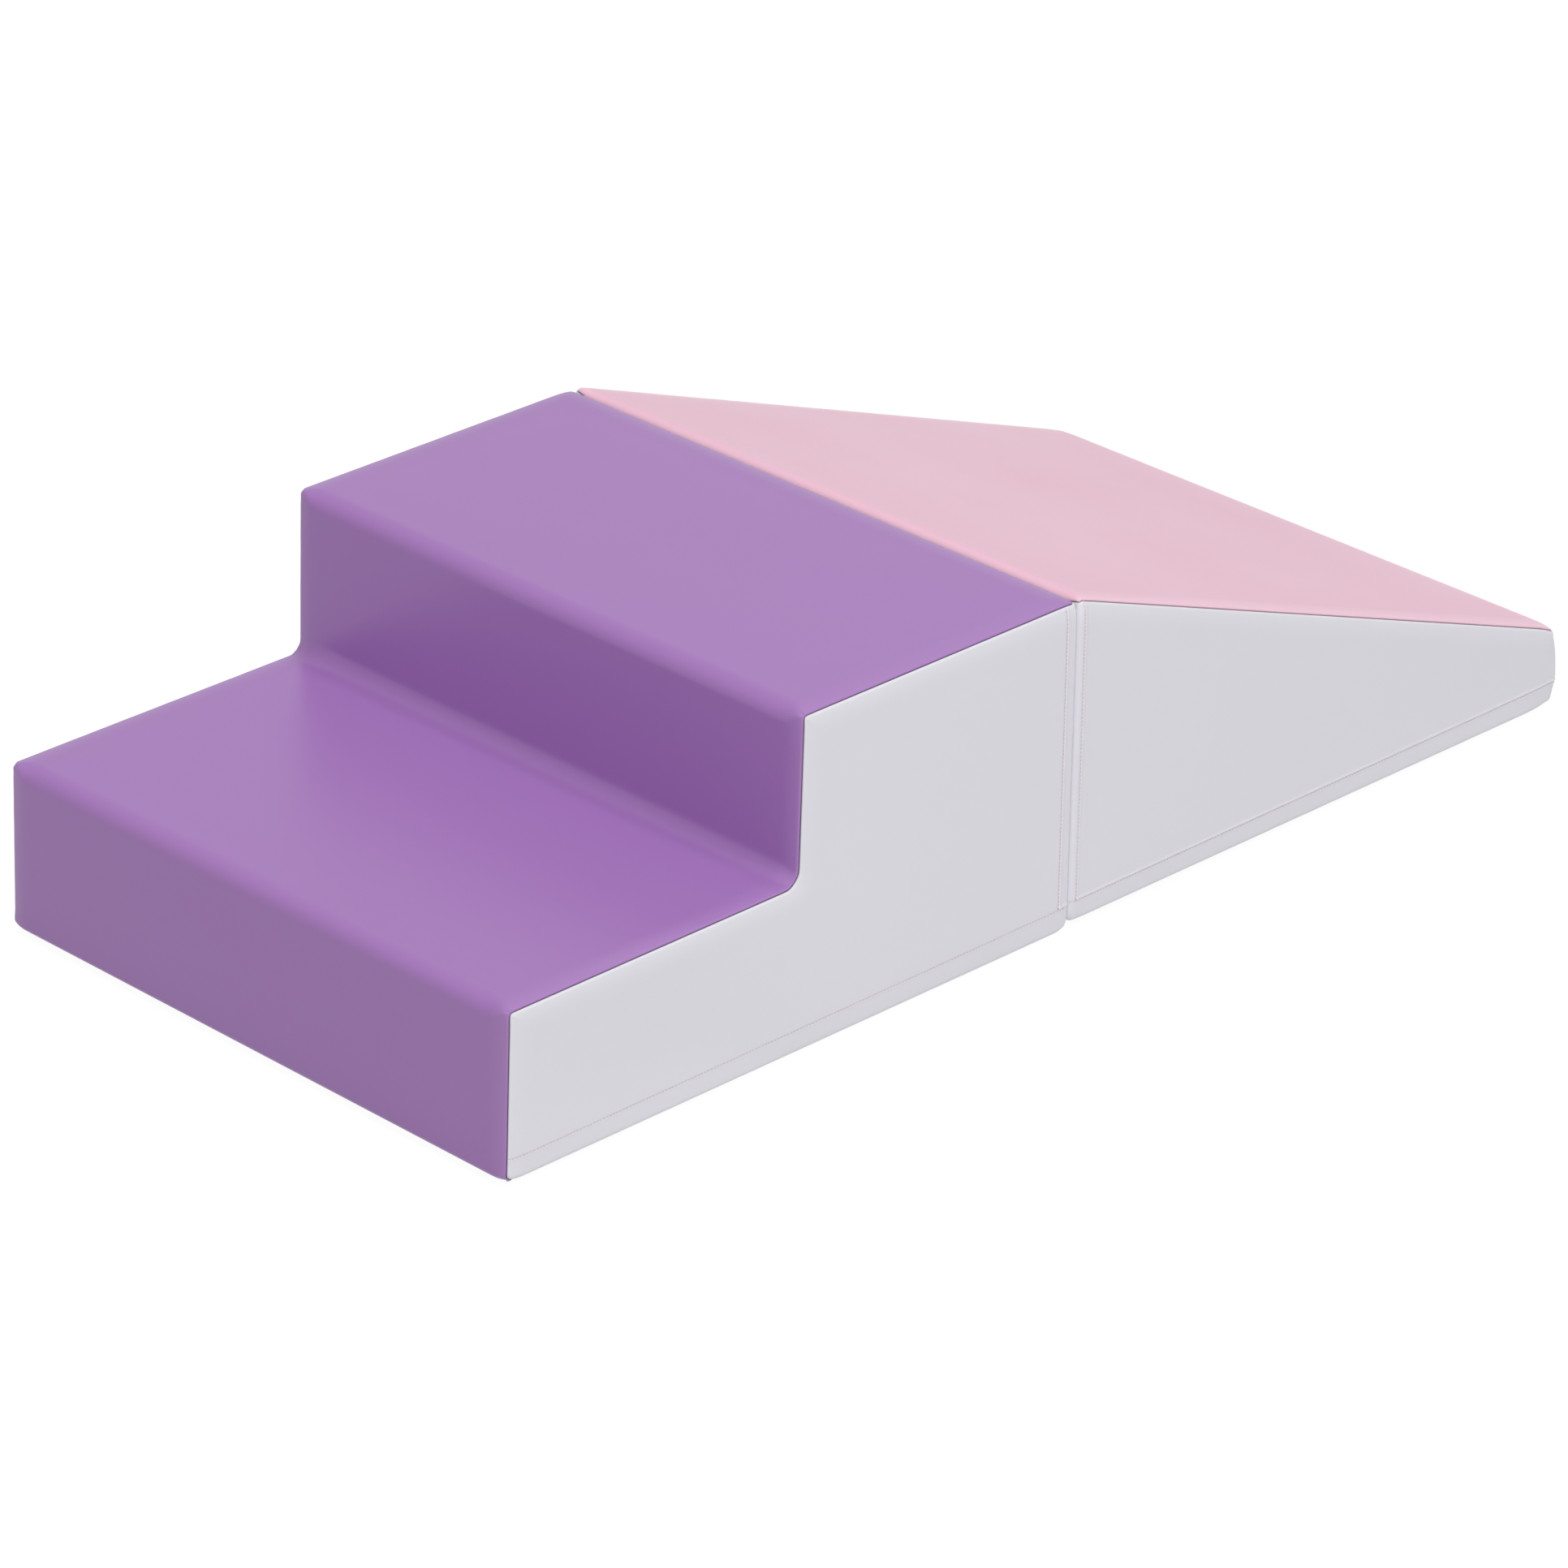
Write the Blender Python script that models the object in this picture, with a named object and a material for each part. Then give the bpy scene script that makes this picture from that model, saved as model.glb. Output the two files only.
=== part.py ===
"""Soft play foam climber: a two-tread step block and a ramp block that stand end to end.

Each block is a foam core glued up from slabs, inside a stitched cover of coated fabric with a
zipped, non-slip base. Hook strips on the step block hold loop strips on the ramp block.
Metres, +Z up, +X from the front riser to the ramp's toe, origin under the middle of the pair.
"""

import math

import bmesh
import bpy
from mathutils import Matrix, Vector

MM = 0.001

# Blocks
WIDTH = 610 * MM
STEP_LENGTH = 641 * MM
STEP_HEIGHT = 306 * MM
FIRST_TREAD_DEPTH = 320 * MM
FIRST_TREAD_HEIGHT = 156 * MM
RAMP_LENGTH = 635 * MM
CREST_RISE = 3.5 * MM
TOE_HEIGHT = 77 * MM

# Cover: every long edge rolls over the foam, and its seam sits half way round the roll
COVER = 1.2 * MM
EDGE_ROLL = 5.5 * MM
NOSE_RADIUS = 12 * MM
INNER_RADIUS = 14 * MM
LEAST_RADIUS = 0.4 * MM
SIDE_CROWN = 1.6 * MM
TREAD_CROWN = 2.0 * MM
RISER_CROWN = 1.0 * MM
SLIDE_CROWN = 2.4 * MM
SEAM_PINCH = 0.5 * MM
SEAM_ANGLE = math.radians(45)
TOE_SEAM_ANGLE = math.radians(40)
BAND_HEIGHT = 21 * MM
STEP_WRAP = 13 * MM
RAMP_WRAP = 7.5 * MM
WRAP_DROP = 0.5 * MM
PINCH_REACH = 4 * MM
FIT_GAP = 0.3 * MM

# Foam
FOAM_INNER_RADIUS = 2 * MM

# Closure: a zip across the base, sunk in a channel so that nothing reaches the floor
ZIP_INSET = 95 * MM
SLOT_END_INSET = 50 * MM
SLOT_WIDTH = 22 * MM
SLOT_CORNER = 3 * MM
HEM_HEIGHT = 6 * MM
CHANNEL_MARGIN = 6 * MM
TAPE = 0.6 * MM
TAPE_END = 1 * MM
TAPE_LAP = 4 * MM
COIL_WIDTH = 1.7 * MM
COIL_HEIGHT = 1.5 * MM
COIL_ROUND = 0.4 * MM
CHAIN_END = 9 * MM
SLIT = 1.4 * MM
STOP_LENGTH = 4 * MM
STOP_WALL = 0.5 * MM
SLIDER_LENGTH = 11 * MM
SLIDER_WIDTH = 8.4 * MM
SLIDER_PLATE = 1.2 * MM
SLIDER_ROUND = 1.2 * MM
SLIDER_RUN_GAP = 0.35 * MM
SLIDER_FLANGE = 0.9 * MM
NECK_WIDTH = 0.7 * MM
NECK_LENGTH = 2.6 * MM
BRIDGE_WIDTH = 2.2 * MM
BRIDGE_LENGTH = 5 * MM
BRIDGE_FOOT = 1.1 * MM
BRIDGE_OPENING = 1.7 * MM
BRIDGE_BAR = 0.8 * MM
PULL_LENGTH = 22 * MM
PULL_WIDTH = 7 * MM
PULL_THICKNESS = 0.9 * MM
PULL_ARM = 1.2 * MM
PULL_REACH = 4.4 * MM
PULL_TIP_HOLE = 2.4 * MM
PULL_TIP_INSET = 3.6 * MM
SLIDER_END_GAP = 1.5 * MM

# Fastening between the blocks
HOOK_STRIP = 1.2 * MM
LOOP_STRIP = 0.9 * MM
STRIP_END_INSET = 55 * MM
STRIP_HEIGHT = 50 * MM
STRIP_CORNER = 6 * MM
LOW_STRIP_CENTRE = 75 * MM
HIGH_STRIP_DROP = 71 * MM

CUT_OVERRUN = 10 * MM
CUT_SNAP = 0.0004 * MM

# Counts of facets
ARC_STEPS = 6
ROLL_STEPS = 3
ROUND_SIDES = 12
BEVEL_STEPS = 3
COIL_STEPS = 2

# Edges sharper than this show as creases, and edges at least this upright are rounded
CREASE_ANGLE = math.radians(40)
UPRIGHT_SHARE = 0.9

# Across the width, the crown's stations as shares of the half width between the rolls
CROWN_STATION_SHARES = (-1.0, -0.84, -0.45, 0.0, 0.45, 0.84, 1.0)

# A flat seam's pinch starts at this share of the edge roll from a rolled corner
ROLL_CLEAR_SHARE = 1.25
ROLL_RUN_SHARES = (0.3, 0.65, 1.0)

# A panel's crown rises as this power of the way from its middle falls off
CROWN_POWER = 4

# A side panel's crown runs in by this share of the panel's least height, with a station on the way
CROWN_REACH_SHARE = 1 / 3
CROWN_START_SHARE = 1 / 3
CROWN_START_RISE_SHARE = 2 / 3

# Along a straight run between two rounded corners, the crown's stations as shares of the run
RUN_STATION_SHARES = (0.14, 0.5, 0.86)

# Derived places
SLOT_LENGTH = WIDTH - 2 * SLOT_END_INSET
TAPE_LENGTH = SLOT_LENGTH + 2 * TAPE_END
CHAIN_LENGTH = SLOT_LENGTH - 2 * CHAIN_END
STRIP_LENGTH = WIDTH - 2 * STRIP_END_INSET
HIGH_STRIP_CENTRE = STEP_HEIGHT - HIGH_STRIP_DROP
BLOCK_GAP = HOOK_STRIP + LOOP_STRIP + 3 * FIT_GAP
TOTAL_LENGTH = STEP_LENGTH + BLOCK_GAP + RAMP_LENGTH
FRONT_X = -(TOTAL_LENGTH - RISER_CROWN) / 2
STEP_REAR_X = FRONT_X + STEP_LENGTH
RAMP_X = STEP_REAR_X + BLOCK_GAP
TOE_X = RAMP_X + RAMP_LENGTH
HALF_WIDTH = WIDTH / 2
CREST_HEIGHT = STEP_HEIGHT + CREST_RISE
SLOPE = math.atan2(CREST_HEIGHT - TOE_HEIGHT, RAMP_LENGTH)
RIGHT_ANGLE = math.pi / 2
CREST_TURN = RIGHT_ANGLE + SLOPE
TOE_TURN = RIGHT_ANGLE - SLOPE
HALF_GAP_ANGLE = FIT_GAP / 2 / EDGE_ROLL
FOAM_OFFSET = COVER + FIT_GAP
SLAB_SPLIT = FIRST_TREAD_HEIGHT - FOAM_OFFSET

# Colours: red, green, blue, roughness, metallic
FINISHES = {
    "purple_vinyl": (0.40, 0.23, 0.50, 0.38, 0.0),
    "pink_vinyl": (0.80, 0.53, 0.62, 0.38, 0.0),
    "grey_vinyl": (0.66, 0.64, 0.69, 0.40, 0.0),
    "foam": (0.86, 0.85, 0.80, 0.95, 0.0),
    "base_fabric": (0.09, 0.09, 0.10, 0.90, 0.0),
    "zip_tape": (0.52, 0.50, 0.55, 0.90, 0.0),
    "zip_coil": (0.45, 0.44, 0.48, 0.45, 0.0),
    "zip_metal": (0.60, 0.60, 0.62, 0.35, 1.0),
    "hook_and_loop": (0.62, 0.60, 0.65, 0.95, 0.0),
}


def clear_scene():
    """Remove whatever the scene holds."""
    for item in list(bpy.data.objects):
        bpy.data.objects.remove(item, do_unlink=True)


def finish(name):
    """Return the named material, made on first use."""
    material = bpy.data.materials.get(name)
    if material is None:
        red, green, blue, roughness, metallic = FINISHES[name]
        material = bpy.data.materials.new(name)
        material.use_nodes = True
        shader = material.node_tree.nodes["Principled BSDF"]
        shader.inputs["Base Color"].default_value = (red, green, blue, 1.0)
        shader.inputs["Roughness"].default_value = roughness
        shader.inputs["Metallic"].default_value = metallic
        material.diffuse_color = (red, green, blue, 1.0)
    return material


def add_object(name, shape, material):
    """Turn a bmesh into a named object with its own finish, shaded smooth between creases."""
    bmesh.ops.recalc_face_normals(shape, faces=shape.faces)
    mesh = bpy.data.meshes.new(name)
    shape.to_mesh(mesh)
    shape.free()
    item = bpy.data.objects.new(name, mesh)
    bpy.context.scene.collection.objects.link(item)
    mesh.materials.append(finish(material))
    mesh.shade_smooth()
    mesh.set_sharp_from_angle(angle=CREASE_ANGLE)
    return item


# Outlines: corners run with the inside on their right, and each edge has its own inset


def edge_frames(corners, closed):
    """Return each edge's unit direction and its normal towards the inside."""
    count = len(corners) if closed else len(corners) - 1
    frames = []
    for index in range(count):
        start = Vector(corners[index])
        along = (Vector(corners[(index + 1) % len(corners)]) - start).normalized()
        frames.append((along, Vector((along.y, -along.x))))
    return frames


def inset_corner(corner, before, after, inset_before, inset_after):
    """Where two edges meet after each has moved inward by its own inset."""
    along, normal = before
    next_along, next_normal = after
    start = Vector(corner) + normal * inset_before
    gap = (Vector(corner) + next_normal * inset_after) - start
    turn = along.x * next_along.y - along.y * next_along.x
    return start + along * ((gap.x * next_along.y - gap.y * next_along.x) / turn)


def corner_arc(point, before, after, radius, first_share, last_share):
    """Points along a rounded corner, or the part of it between two shares of its turn."""
    along, normal = before
    turn = along.angle_signed(after[0])
    side = 1 if turn > 0 else -1
    start = point - along * radius * math.tan(abs(turn) / 2)
    centre = start + normal * radius * side
    spoke = start - centre
    points = []
    for step in range(ARC_STEPS + 1):
        share = first_share + (last_share - first_share) * step / ARC_STEPS
        points.append(centre + Matrix.Rotation(-turn * share, 2) @ spoke)
    return points


def corner_radius(radius, frames, index, inset):
    """A convex corner tightens as the outline moves in, and a concave one opens out."""
    before = frames[index - 1][0]
    after = frames[index][0]
    if before.angle_signed(after) > 0:
        return max(radius - inset, LEAST_RADIUS)
    return max(radius + inset, LEAST_RADIUS)


def crown_rise(share, crown):
    """Height of a filled panel's crown at a share, from -1 to 1, of the way between its edges."""
    return crown * (1 - share**CROWN_POWER)


def add_run(points, frame, arc, crown):
    """Extend an outline over a straight run to the next corner's arc.

    The run bulges by its crown, or is one plain edge where the crown is None.
    """
    if crown is not None:
        start = points[-1]
        for share in RUN_STATION_SHARES:
            rise = crown_rise(2 * share - 1, crown)
            points.append(start.lerp(arc[0], share) - frame[1] * rise)
    points += arc


def open_outline(corners, radii, insets, crowns, first_share=None, last_share=None):
    """Points along an open outline.

    With a share given, the outline starts, or ends, part way round its first, or last, rounded
    corner instead of at its first, or last, point.
    """
    frames = edge_frames(corners, closed=False)
    points = []
    if first_share is None:
        points.append(Vector(corners[0]) + frames[0][1] * insets[0])
    inner = range(1, len(corners) - 1)
    for index in inner:
        corner = inset_corner(
            corners[index], frames[index - 1], frames[index], insets[index - 1], insets[index]
        )
        mean_inset = (insets[index - 1] + insets[index]) / 2
        radius = corner_radius(radii[index], frames, index, mean_inset)
        start = first_share if index == inner[0] and first_share is not None else 0.0
        end = last_share if index == inner[-1] and last_share is not None else 1.0
        arc = corner_arc(corner, frames[index - 1], frames[index], radius, start, end)
        if points:
            add_run(points, frames[index - 1], arc, crowns[index - 1])
        else:
            points += arc
    if last_share is None:
        points.append(Vector(corners[-1]) + frames[-1][1] * insets[-1])
    return points


def closed_arcs(corners, radii, insets):
    """The rounded corners of a closed outline, each as its own points."""
    frames = edge_frames(corners, closed=True)
    arcs = []
    for index, place in enumerate(corners):
        before = frames[index - 1]
        after = frames[index]
        corner = inset_corner(place, before, after, insets[index - 1], insets[index])
        mean_inset = (insets[index - 1] + insets[index]) / 2
        radius = corner_radius(radii[index], frames, index, mean_inset)
        arcs.append(corner_arc(corner, before, after, radius, 0.0, 1.0))
    return arcs


def closed_outline(corners, radii, insets, crowns):
    """Points round a closed outline with rounded corners."""
    frames = edge_frames(corners, closed=True)
    arcs = closed_arcs(corners, radii, insets)
    points = list(arcs[0])
    for index, arc in enumerate(arcs[1:]):
        add_run(points, frames[index], arc, crowns[index])
    return points


def upright(point, across):
    """Place a point of a side-view outline at a distance across the width."""
    return Vector((point.x, across, point.y))


def level(point, across):
    """Place a point of a plan-view outline at a height."""
    return Vector((point.x, point.y, across))


# Solids made from rows of points


def add_rows(shape, rows):
    """Add rows of points as vertices."""
    return [[shape.verts.new(point) for point in row] for row in rows]


def skin_rows(shape, rows, closed):
    """Fill the quads between neighbouring rows."""
    for row, next_row in zip(rows, rows[1:]):
        count = len(row) if closed else len(row) - 1
        for index in range(count):
            other = (index + 1) % len(row)
            shape.faces.new((row[index], row[other], next_row[other], next_row[index]))


def sheet(name, outer_rows, inner_rows, material, closed=False):
    """A cover panel: an outer and an inner surface of like rows, joined round their edges."""
    shape = bmesh.new()
    outer = add_rows(shape, outer_rows)
    inner = add_rows(shape, inner_rows)
    skin_rows(shape, outer, closed)
    skin_rows(shape, inner, closed)
    skin_rows(shape, [outer[0], inner[0]], closed)
    skin_rows(shape, [outer[-1], inner[-1]], closed)
    if not closed:
        for end in (0, -1):
            skin_rows(shape, [[row[end] for row in outer], [row[end] for row in inner]], False)
    return add_object(name, shape, material)


def dish(name, outer_rings, inner_rings, material):
    """A side panel: rings from the seam inward, the last one filled, outside and inside."""
    shape = bmesh.new()
    outer = add_rows(shape, outer_rings)
    inner = add_rows(shape, inner_rings)
    skin_rows(shape, outer, True)
    skin_rows(shape, inner, True)
    skin_rows(shape, [outer[0], inner[0]], True)
    shape.faces.new(outer[-1])
    shape.faces.new(inner[-1])
    return add_object(name, shape, material)


def loaf(rings):
    """A solid body skinned over a row of closed rings and capped at both ends."""
    shape = bmesh.new()
    rows = add_rows(shape, rings)
    skin_rows(shape, rows, True)
    shape.faces.new(rows[0])
    shape.faces.new(rows[-1])
    bmesh.ops.recalc_face_normals(shape, faces=shape.faces)
    return shape


def add_box(shape, centre, size, round_width=0.0):
    """Add a box to a bmesh, with its long edges rounded when a width is given."""
    made = bmesh.ops.create_cube(shape, size=1.0)
    verts = made["verts"]
    bmesh.ops.scale(shape, vec=Vector(size), verts=verts)
    bmesh.ops.translate(shape, vec=Vector(centre), verts=verts)
    if round_width > 0:
        upright_edges = [
            edge
            for edge in {edge for vert in verts for edge in vert.link_edges}
            if abs((edge.verts[0].co - edge.verts[1].co).normalized().z) > UPRIGHT_SHARE
        ]
        bmesh.ops.bevel(
            shape,
            geom=upright_edges,
            offset=round_width,
            offset_type="OFFSET",
            affect="EDGES",
            segments=BEVEL_STEPS,
            profile=0.5,
            material=-1,
            clamp_overlap=True,
        )


def box_object(name, low, high, material, round_width=0.0):
    """A box between two corners, with its upright edges rounded when a width is given."""
    shape = bmesh.new()
    low = Vector(low)
    high = Vector(high)
    add_box(shape, (low + high) / 2, high - low, round_width)
    return add_object(name, shape, material)


def combine(target, tool, operation):
    """Join a tool to an object, or cut it from the object, and keep only the result."""
    modifier = target.modifiers.new(operation.lower(), "BOOLEAN")
    modifier.operation = operation
    modifier.solver = "EXACT"
    modifier.object = tool
    depsgraph = bpy.context.evaluated_depsgraph_get()
    result = bpy.data.meshes.new_from_object(target.evaluated_get(depsgraph))
    target.modifiers.remove(modifier)
    target.data = result
    bpy.data.objects.remove(tool, do_unlink=True)
    return target


# The roll of a stitched edge


def roll_angles(start, end):
    """Angles round a stitched edge's roll, from start to end."""
    return [start + (end - start) * step / ROLL_STEPS for step in range(ROLL_STEPS + 1)]


def width_stations(offset):
    """From one long seam of a top cover to the other: (across, inset, roll angle, crown share)."""
    inner_half = HALF_WIDTH - EDGE_ROLL
    edge_angle = SEAM_ANGLE - HALF_GAP_ANGLE
    rolled = []
    for angle in roll_angles(edge_angle, 0.0)[:-1]:
        reach = inner_half + (EDGE_ROLL - offset) * math.sin(angle)
        inset = EDGE_ROLL - (EDGE_ROLL - offset) * math.cos(angle)
        rolled.append((reach, inset, angle, 0.0))
    stations = [(-reach, inset, angle, rise) for reach, inset, angle, rise in rolled]
    for share in CROWN_STATION_SHARES:
        stations.append((inner_half * share, offset, 0.0, crown_rise(share, 1.0)))
    return stations + rolled[::-1]


def seam_share(turn, seam_angle, roll_angle):
    """Share of a corner's turn at which a seam of one height crosses it.

    Near a block's corner the cover also rolls down sideways, so the seam climbs round the
    tighter section to keep its height.
    """
    climb = min(1.0, math.sin(seam_angle + HALF_GAP_ANGLE) / math.cos(roll_angle))
    return min(1.0, math.asin(climb) / turn)


def top_cover(name, corners, radii, crowns, ends, material):
    """A cover strip that runs over a block's profile, rolled down at both long seams.

    ends gives, for the first and the last rounded corner, the corner's turn and the seam's
    angle on it, or None where the cover goes right round the corner.
    """
    surfaces = []
    for offset in (0.0, COVER):
        rows = []
        for across, inset, roll_angle, rise in width_stations(offset):
            insets = [inset] * len(crowns)
            heights = [None if crown is None else crown * rise for crown in crowns]
            first_share = 0.0
            last_share = 1.0
            if ends[0] is not None:
                turn, seam_angle = ends[0]
                first_share = seam_share(turn, seam_angle, roll_angle)
            if ends[1] is not None:
                turn, seam_angle = ends[1]
                last_share = 1.0 - seam_share(turn, seam_angle, roll_angle)
            outline = open_outline(corners, radii, insets, heights, first_share, last_share)
            rows.append([upright(point, across) for point in outline])
        surfaces.append(rows)
    return sheet(name, surfaces[0], surfaces[1], material)


def roll_depth_at(inset, offset):
    """How far a rolled edge's surface lies below the flat, at an inset from the edge."""
    rise = (EDGE_ROLL - offset) ** 2 - max(EDGE_ROLL - inset, 0.0) ** 2
    return EDGE_ROLL - math.sqrt(max(rise, 0.0))


def flat_seam_points(start, end, roll_inset, offset, flat_depth, rolled_ends):
    """(point, depth) along a flat seam, which follows the roll of a neighbouring edge at its ends."""
    found = []
    along = (end - start).normalized()
    clear = EDGE_ROLL * ROLL_CLEAR_SHARE - roll_inset
    for near, direction, rolled in ((start, along, rolled_ends[0]), (end, -along, rolled_ends[1])):
        side = []
        for share in ROLL_RUN_SHARES:
            depth = flat_depth
            if rolled:
                depth = max(depth, roll_depth_at(roll_inset + clear * share, offset))
            side.append((near + direction * clear * share, depth))
        found += side if direction is along else side[::-1]
    return found


def panel_ring(side, corners, radii, rolled_edges, offset, angle, reach, crown):
    """One ring of a side panel, at an angle round its roll and a reach inward past it."""
    roll_inset = EDGE_ROLL - (EDGE_ROLL - offset) * math.cos(angle)
    roll_depth = EDGE_ROLL - (EDGE_ROLL - offset) * math.sin(angle)
    lap = max(roll_inset - EDGE_ROLL * (1 - math.cos(SEAM_ANGLE)), FIT_GAP / 2)
    pinch_share = (1 - math.sin(angle)) / (1 - math.sin(SEAM_ANGLE))
    flat_depth = max(offset, SEAM_PINCH * pinch_share)
    insets = [(roll_inset if rolled else lap) + reach for rolled in rolled_edges]
    arcs = closed_arcs(corners, radii, insets)
    places = []
    for index, arc in enumerate(arcs):
        rolled_corner = rolled_edges[index - 1] or rolled_edges[index]
        places += [(point, roll_depth if rolled_corner else flat_depth) for point in arc]
        if not rolled_edges[index]:
            end = (index + 1) % len(arcs)
            rolled_ends = (rolled_edges[index - 1], rolled_edges[end])
            places += flat_seam_points(
                arc[-1], arcs[end][0], roll_inset, offset, flat_depth, rolled_ends
            )
    return [upright(point, side * (HALF_WIDTH - depth + crown)) for point, depth in places]


def side_panel(name, side, corners, radii, rolled_edges, least_height):
    """A side panel: rolled at the edges stitched to the top cover, flat at its other seams.

    least_height is the panel's height where it is lowest, which the crown follows.
    """
    reach = least_height * CROWN_REACH_SHARE
    steps = [
        (angle, 0.0, 0.0) for angle in roll_angles(SEAM_ANGLE + HALF_GAP_ANGLE, RIGHT_ANGLE)
    ]
    start_rise = SIDE_CROWN * CROWN_START_RISE_SHARE
    steps.append((RIGHT_ANGLE, reach * CROWN_START_SHARE, start_rise))
    steps.append((RIGHT_ANGLE, reach, SIDE_CROWN))
    surfaces = []
    for offset in (0.0, COVER):
        surfaces.append(
            [panel_ring(side, corners, radii, rolled_edges, offset, *step) for step in steps]
        )
    return dish(name, surfaces[0], surfaces[1], "grey_vinyl")


def foam_core(corners, radii):
    """The whole foam core of a block, cut flat and rolled at its edges to fit inside its cover."""
    stations = [(across, inset) for across, inset, _, _ in width_stations(FOAM_OFFSET)]
    edge_reach = HALF_WIDTH - FOAM_OFFSET
    stations = [(-edge_reach, EDGE_ROLL), *stations, (edge_reach, EDGE_ROLL)]
    rings = []
    for across, inset in stations:
        if abs(across) < HALF_WIDTH - EDGE_ROLL:
            continue
        outline = closed_outline(corners, radii, [inset] * len(corners), [None] * len(corners))
        rings.append([upright(point, across) for point in outline])
    return loaf(rings)


def slab(name, core, low, high, zip_centre):
    """The slab of a foam core between two heights, with the zip's channel if it has one."""
    shape = core.copy()
    for height, keep_above in ((low, True), (high, False)):
        if height is None:
            continue
        shift = FIT_GAP / 2 if keep_above else -FIT_GAP / 2
        geometry = shape.verts[:] + shape.edges[:] + shape.faces[:]
        cut = bmesh.ops.bisect_plane(
            shape,
            geom=geometry,
            dist=CUT_SNAP,
            plane_co=Vector((0, 0, height + shift)),
            plane_no=Vector((0, 0, 1)),
            clear_inner=keep_above,
            clear_outer=not keep_above,
        )
        rim = [item for item in cut["geom_cut"] if isinstance(item, bmesh.types.BMEdge)]
        bmesh.ops.contextual_create(shape, geom=rim)
    item = add_object(name, shape, "foam")
    if zip_centre is not None:
        half_width = SLOT_WIDTH / 2 + COVER + CHANNEL_MARGIN
        half_length = TAPE_LENGTH / 2 + COVER + CHANNEL_MARGIN
        cutter = box_object(
            name + "_channel",
            (zip_centre - half_width, -half_length, -CUT_OVERRUN),
            (zip_centre + half_width, half_length, zip_top() + CHANNEL_MARGIN / 2),
            "foam",
        )
        combine(item, cutter, "DIFFERENCE")
    return item


def upright_strip(name, corners, radii, stations, shares, material):
    """A cover strip that stands round a block's plan outline, as rows of one height each."""
    surfaces = []
    for offset in (0.0, COVER):
        rows = []
        for height, inset, roll_angle in stations(offset):
            insets = [inset] * (len(corners) - 1)
            flat = [None] * len(insets)
            first_share, last_share = shares(roll_angle)
            outline = open_outline(corners, radii, insets, flat, first_share, last_share)
            rows.append([level(point, height) for point in outline])
        surfaces.append(rows)
    return sheet(name, surfaces[0], surfaces[1], material)


def top_rolled_stations(bottom, roll_centre, seam_angle):
    """Stations of an end panel: a flat seam at the bottom and a rolled edge at the top."""

    def stations(offset):
        """(height, inset, roll angle) of each row at an offset into the cover."""
        found = [(bottom + FIT_GAP / 2, max(offset, SEAM_PINCH), 0.0)]
        found.append((bottom + PINCH_REACH, offset, 0.0))
        radius = EDGE_ROLL - offset
        for angle in roll_angles(0.0, seam_angle - HALF_GAP_ANGLE):
            height = roll_centre + radius * math.sin(angle)
            found.append((height, EDGE_ROLL - radius * math.cos(angle), angle))
        return found

    return stations


def base_band_stations(offset):
    """Stations of a base band: a flat seam at the top, rolled right under at the bottom."""
    found = [(BAND_HEIGHT - FIT_GAP / 2, max(offset, SEAM_PINCH), 0.0)]
    found.append((BAND_HEIGHT - PINCH_REACH, offset, 0.0))
    radius = EDGE_ROLL - offset
    for angle in roll_angles(0.0, RIGHT_ANGLE / 2)[:-1] + roll_angles(RIGHT_ANGLE / 2, RIGHT_ANGLE):
        inset = EDGE_ROLL - radius * math.cos(angle)
        found.append((EDGE_ROLL - radius * math.sin(angle), inset, angle))
    return found


def corner_seam_share(seam_angle, roll_angle):
    """Share of an upright corner's turn at which its seam crosses a strip that rolls in.

    The seam keeps one distance across the width, so it runs round the corner as the strip
    rolls in above or below it.
    """
    reach = math.sin(seam_angle) / max(math.cos(roll_angle), math.sin(seam_angle))
    return math.asin(reach) / RIGHT_ANGLE


def base_panel(name, low_x, high_x, zip_centre):
    """The non-slip base: a flat sheet with a hemmed slot for the zip."""
    edge = EDGE_ROLL + FIT_GAP
    half = HALF_WIDTH - edge
    panel = box_object(
        name, (low_x + edge, -half, 0), (high_x - edge, half, COVER), "base_fabric", LEAST_RADIUS
    )
    half_slot = Vector((SLOT_WIDTH, SLOT_LENGTH)) / 2
    hem = box_object(
        name + "_hem",
        (zip_centre - half_slot.x - COVER, -half_slot.y - COVER, COVER / 2),
        (zip_centre + half_slot.x + COVER, half_slot.y + COVER, HEM_HEIGHT),
        "base_fabric",
        SLOT_CORNER + COVER,
    )
    combine(panel, hem, "UNION")
    slot = box_object(
        name + "_slot",
        (zip_centre - half_slot.x, -half_slot.y, -CUT_OVERRUN),
        (zip_centre + half_slot.x, half_slot.y, HEM_HEIGHT + CUT_OVERRUN),
        "base_fabric",
        SLOT_CORNER,
    )
    return combine(panel, slot, "DIFFERENCE")


# Zip heights, from the hem up


def tape_low():
    """Underside of the zip's tapes."""
    return HEM_HEIGHT + FIT_GAP


def coil_low():
    """Underside of the coils, which lie on the tapes' inner side."""
    return tape_low() + TAPE + FIT_GAP


def zip_top():
    """Top of the slider, the highest piece of the zip."""
    return coil_low() + COIL_HEIGHT + SLIDER_RUN_GAP + SLIDER_PLATE


def pull_axis_height():
    """Height of the pull's hinge, in the middle of the bridge's opening."""
    return tape_low() - SLIDER_RUN_GAP - SLIDER_PLATE - BRIDGE_OPENING / 2


def slider_centre():
    """The closed slider's place along the zip, against its end stop."""
    return CHAIN_LENGTH / 2 - STOP_LENGTH - SLIDER_END_GAP - SLIDER_LENGTH / 2


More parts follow.
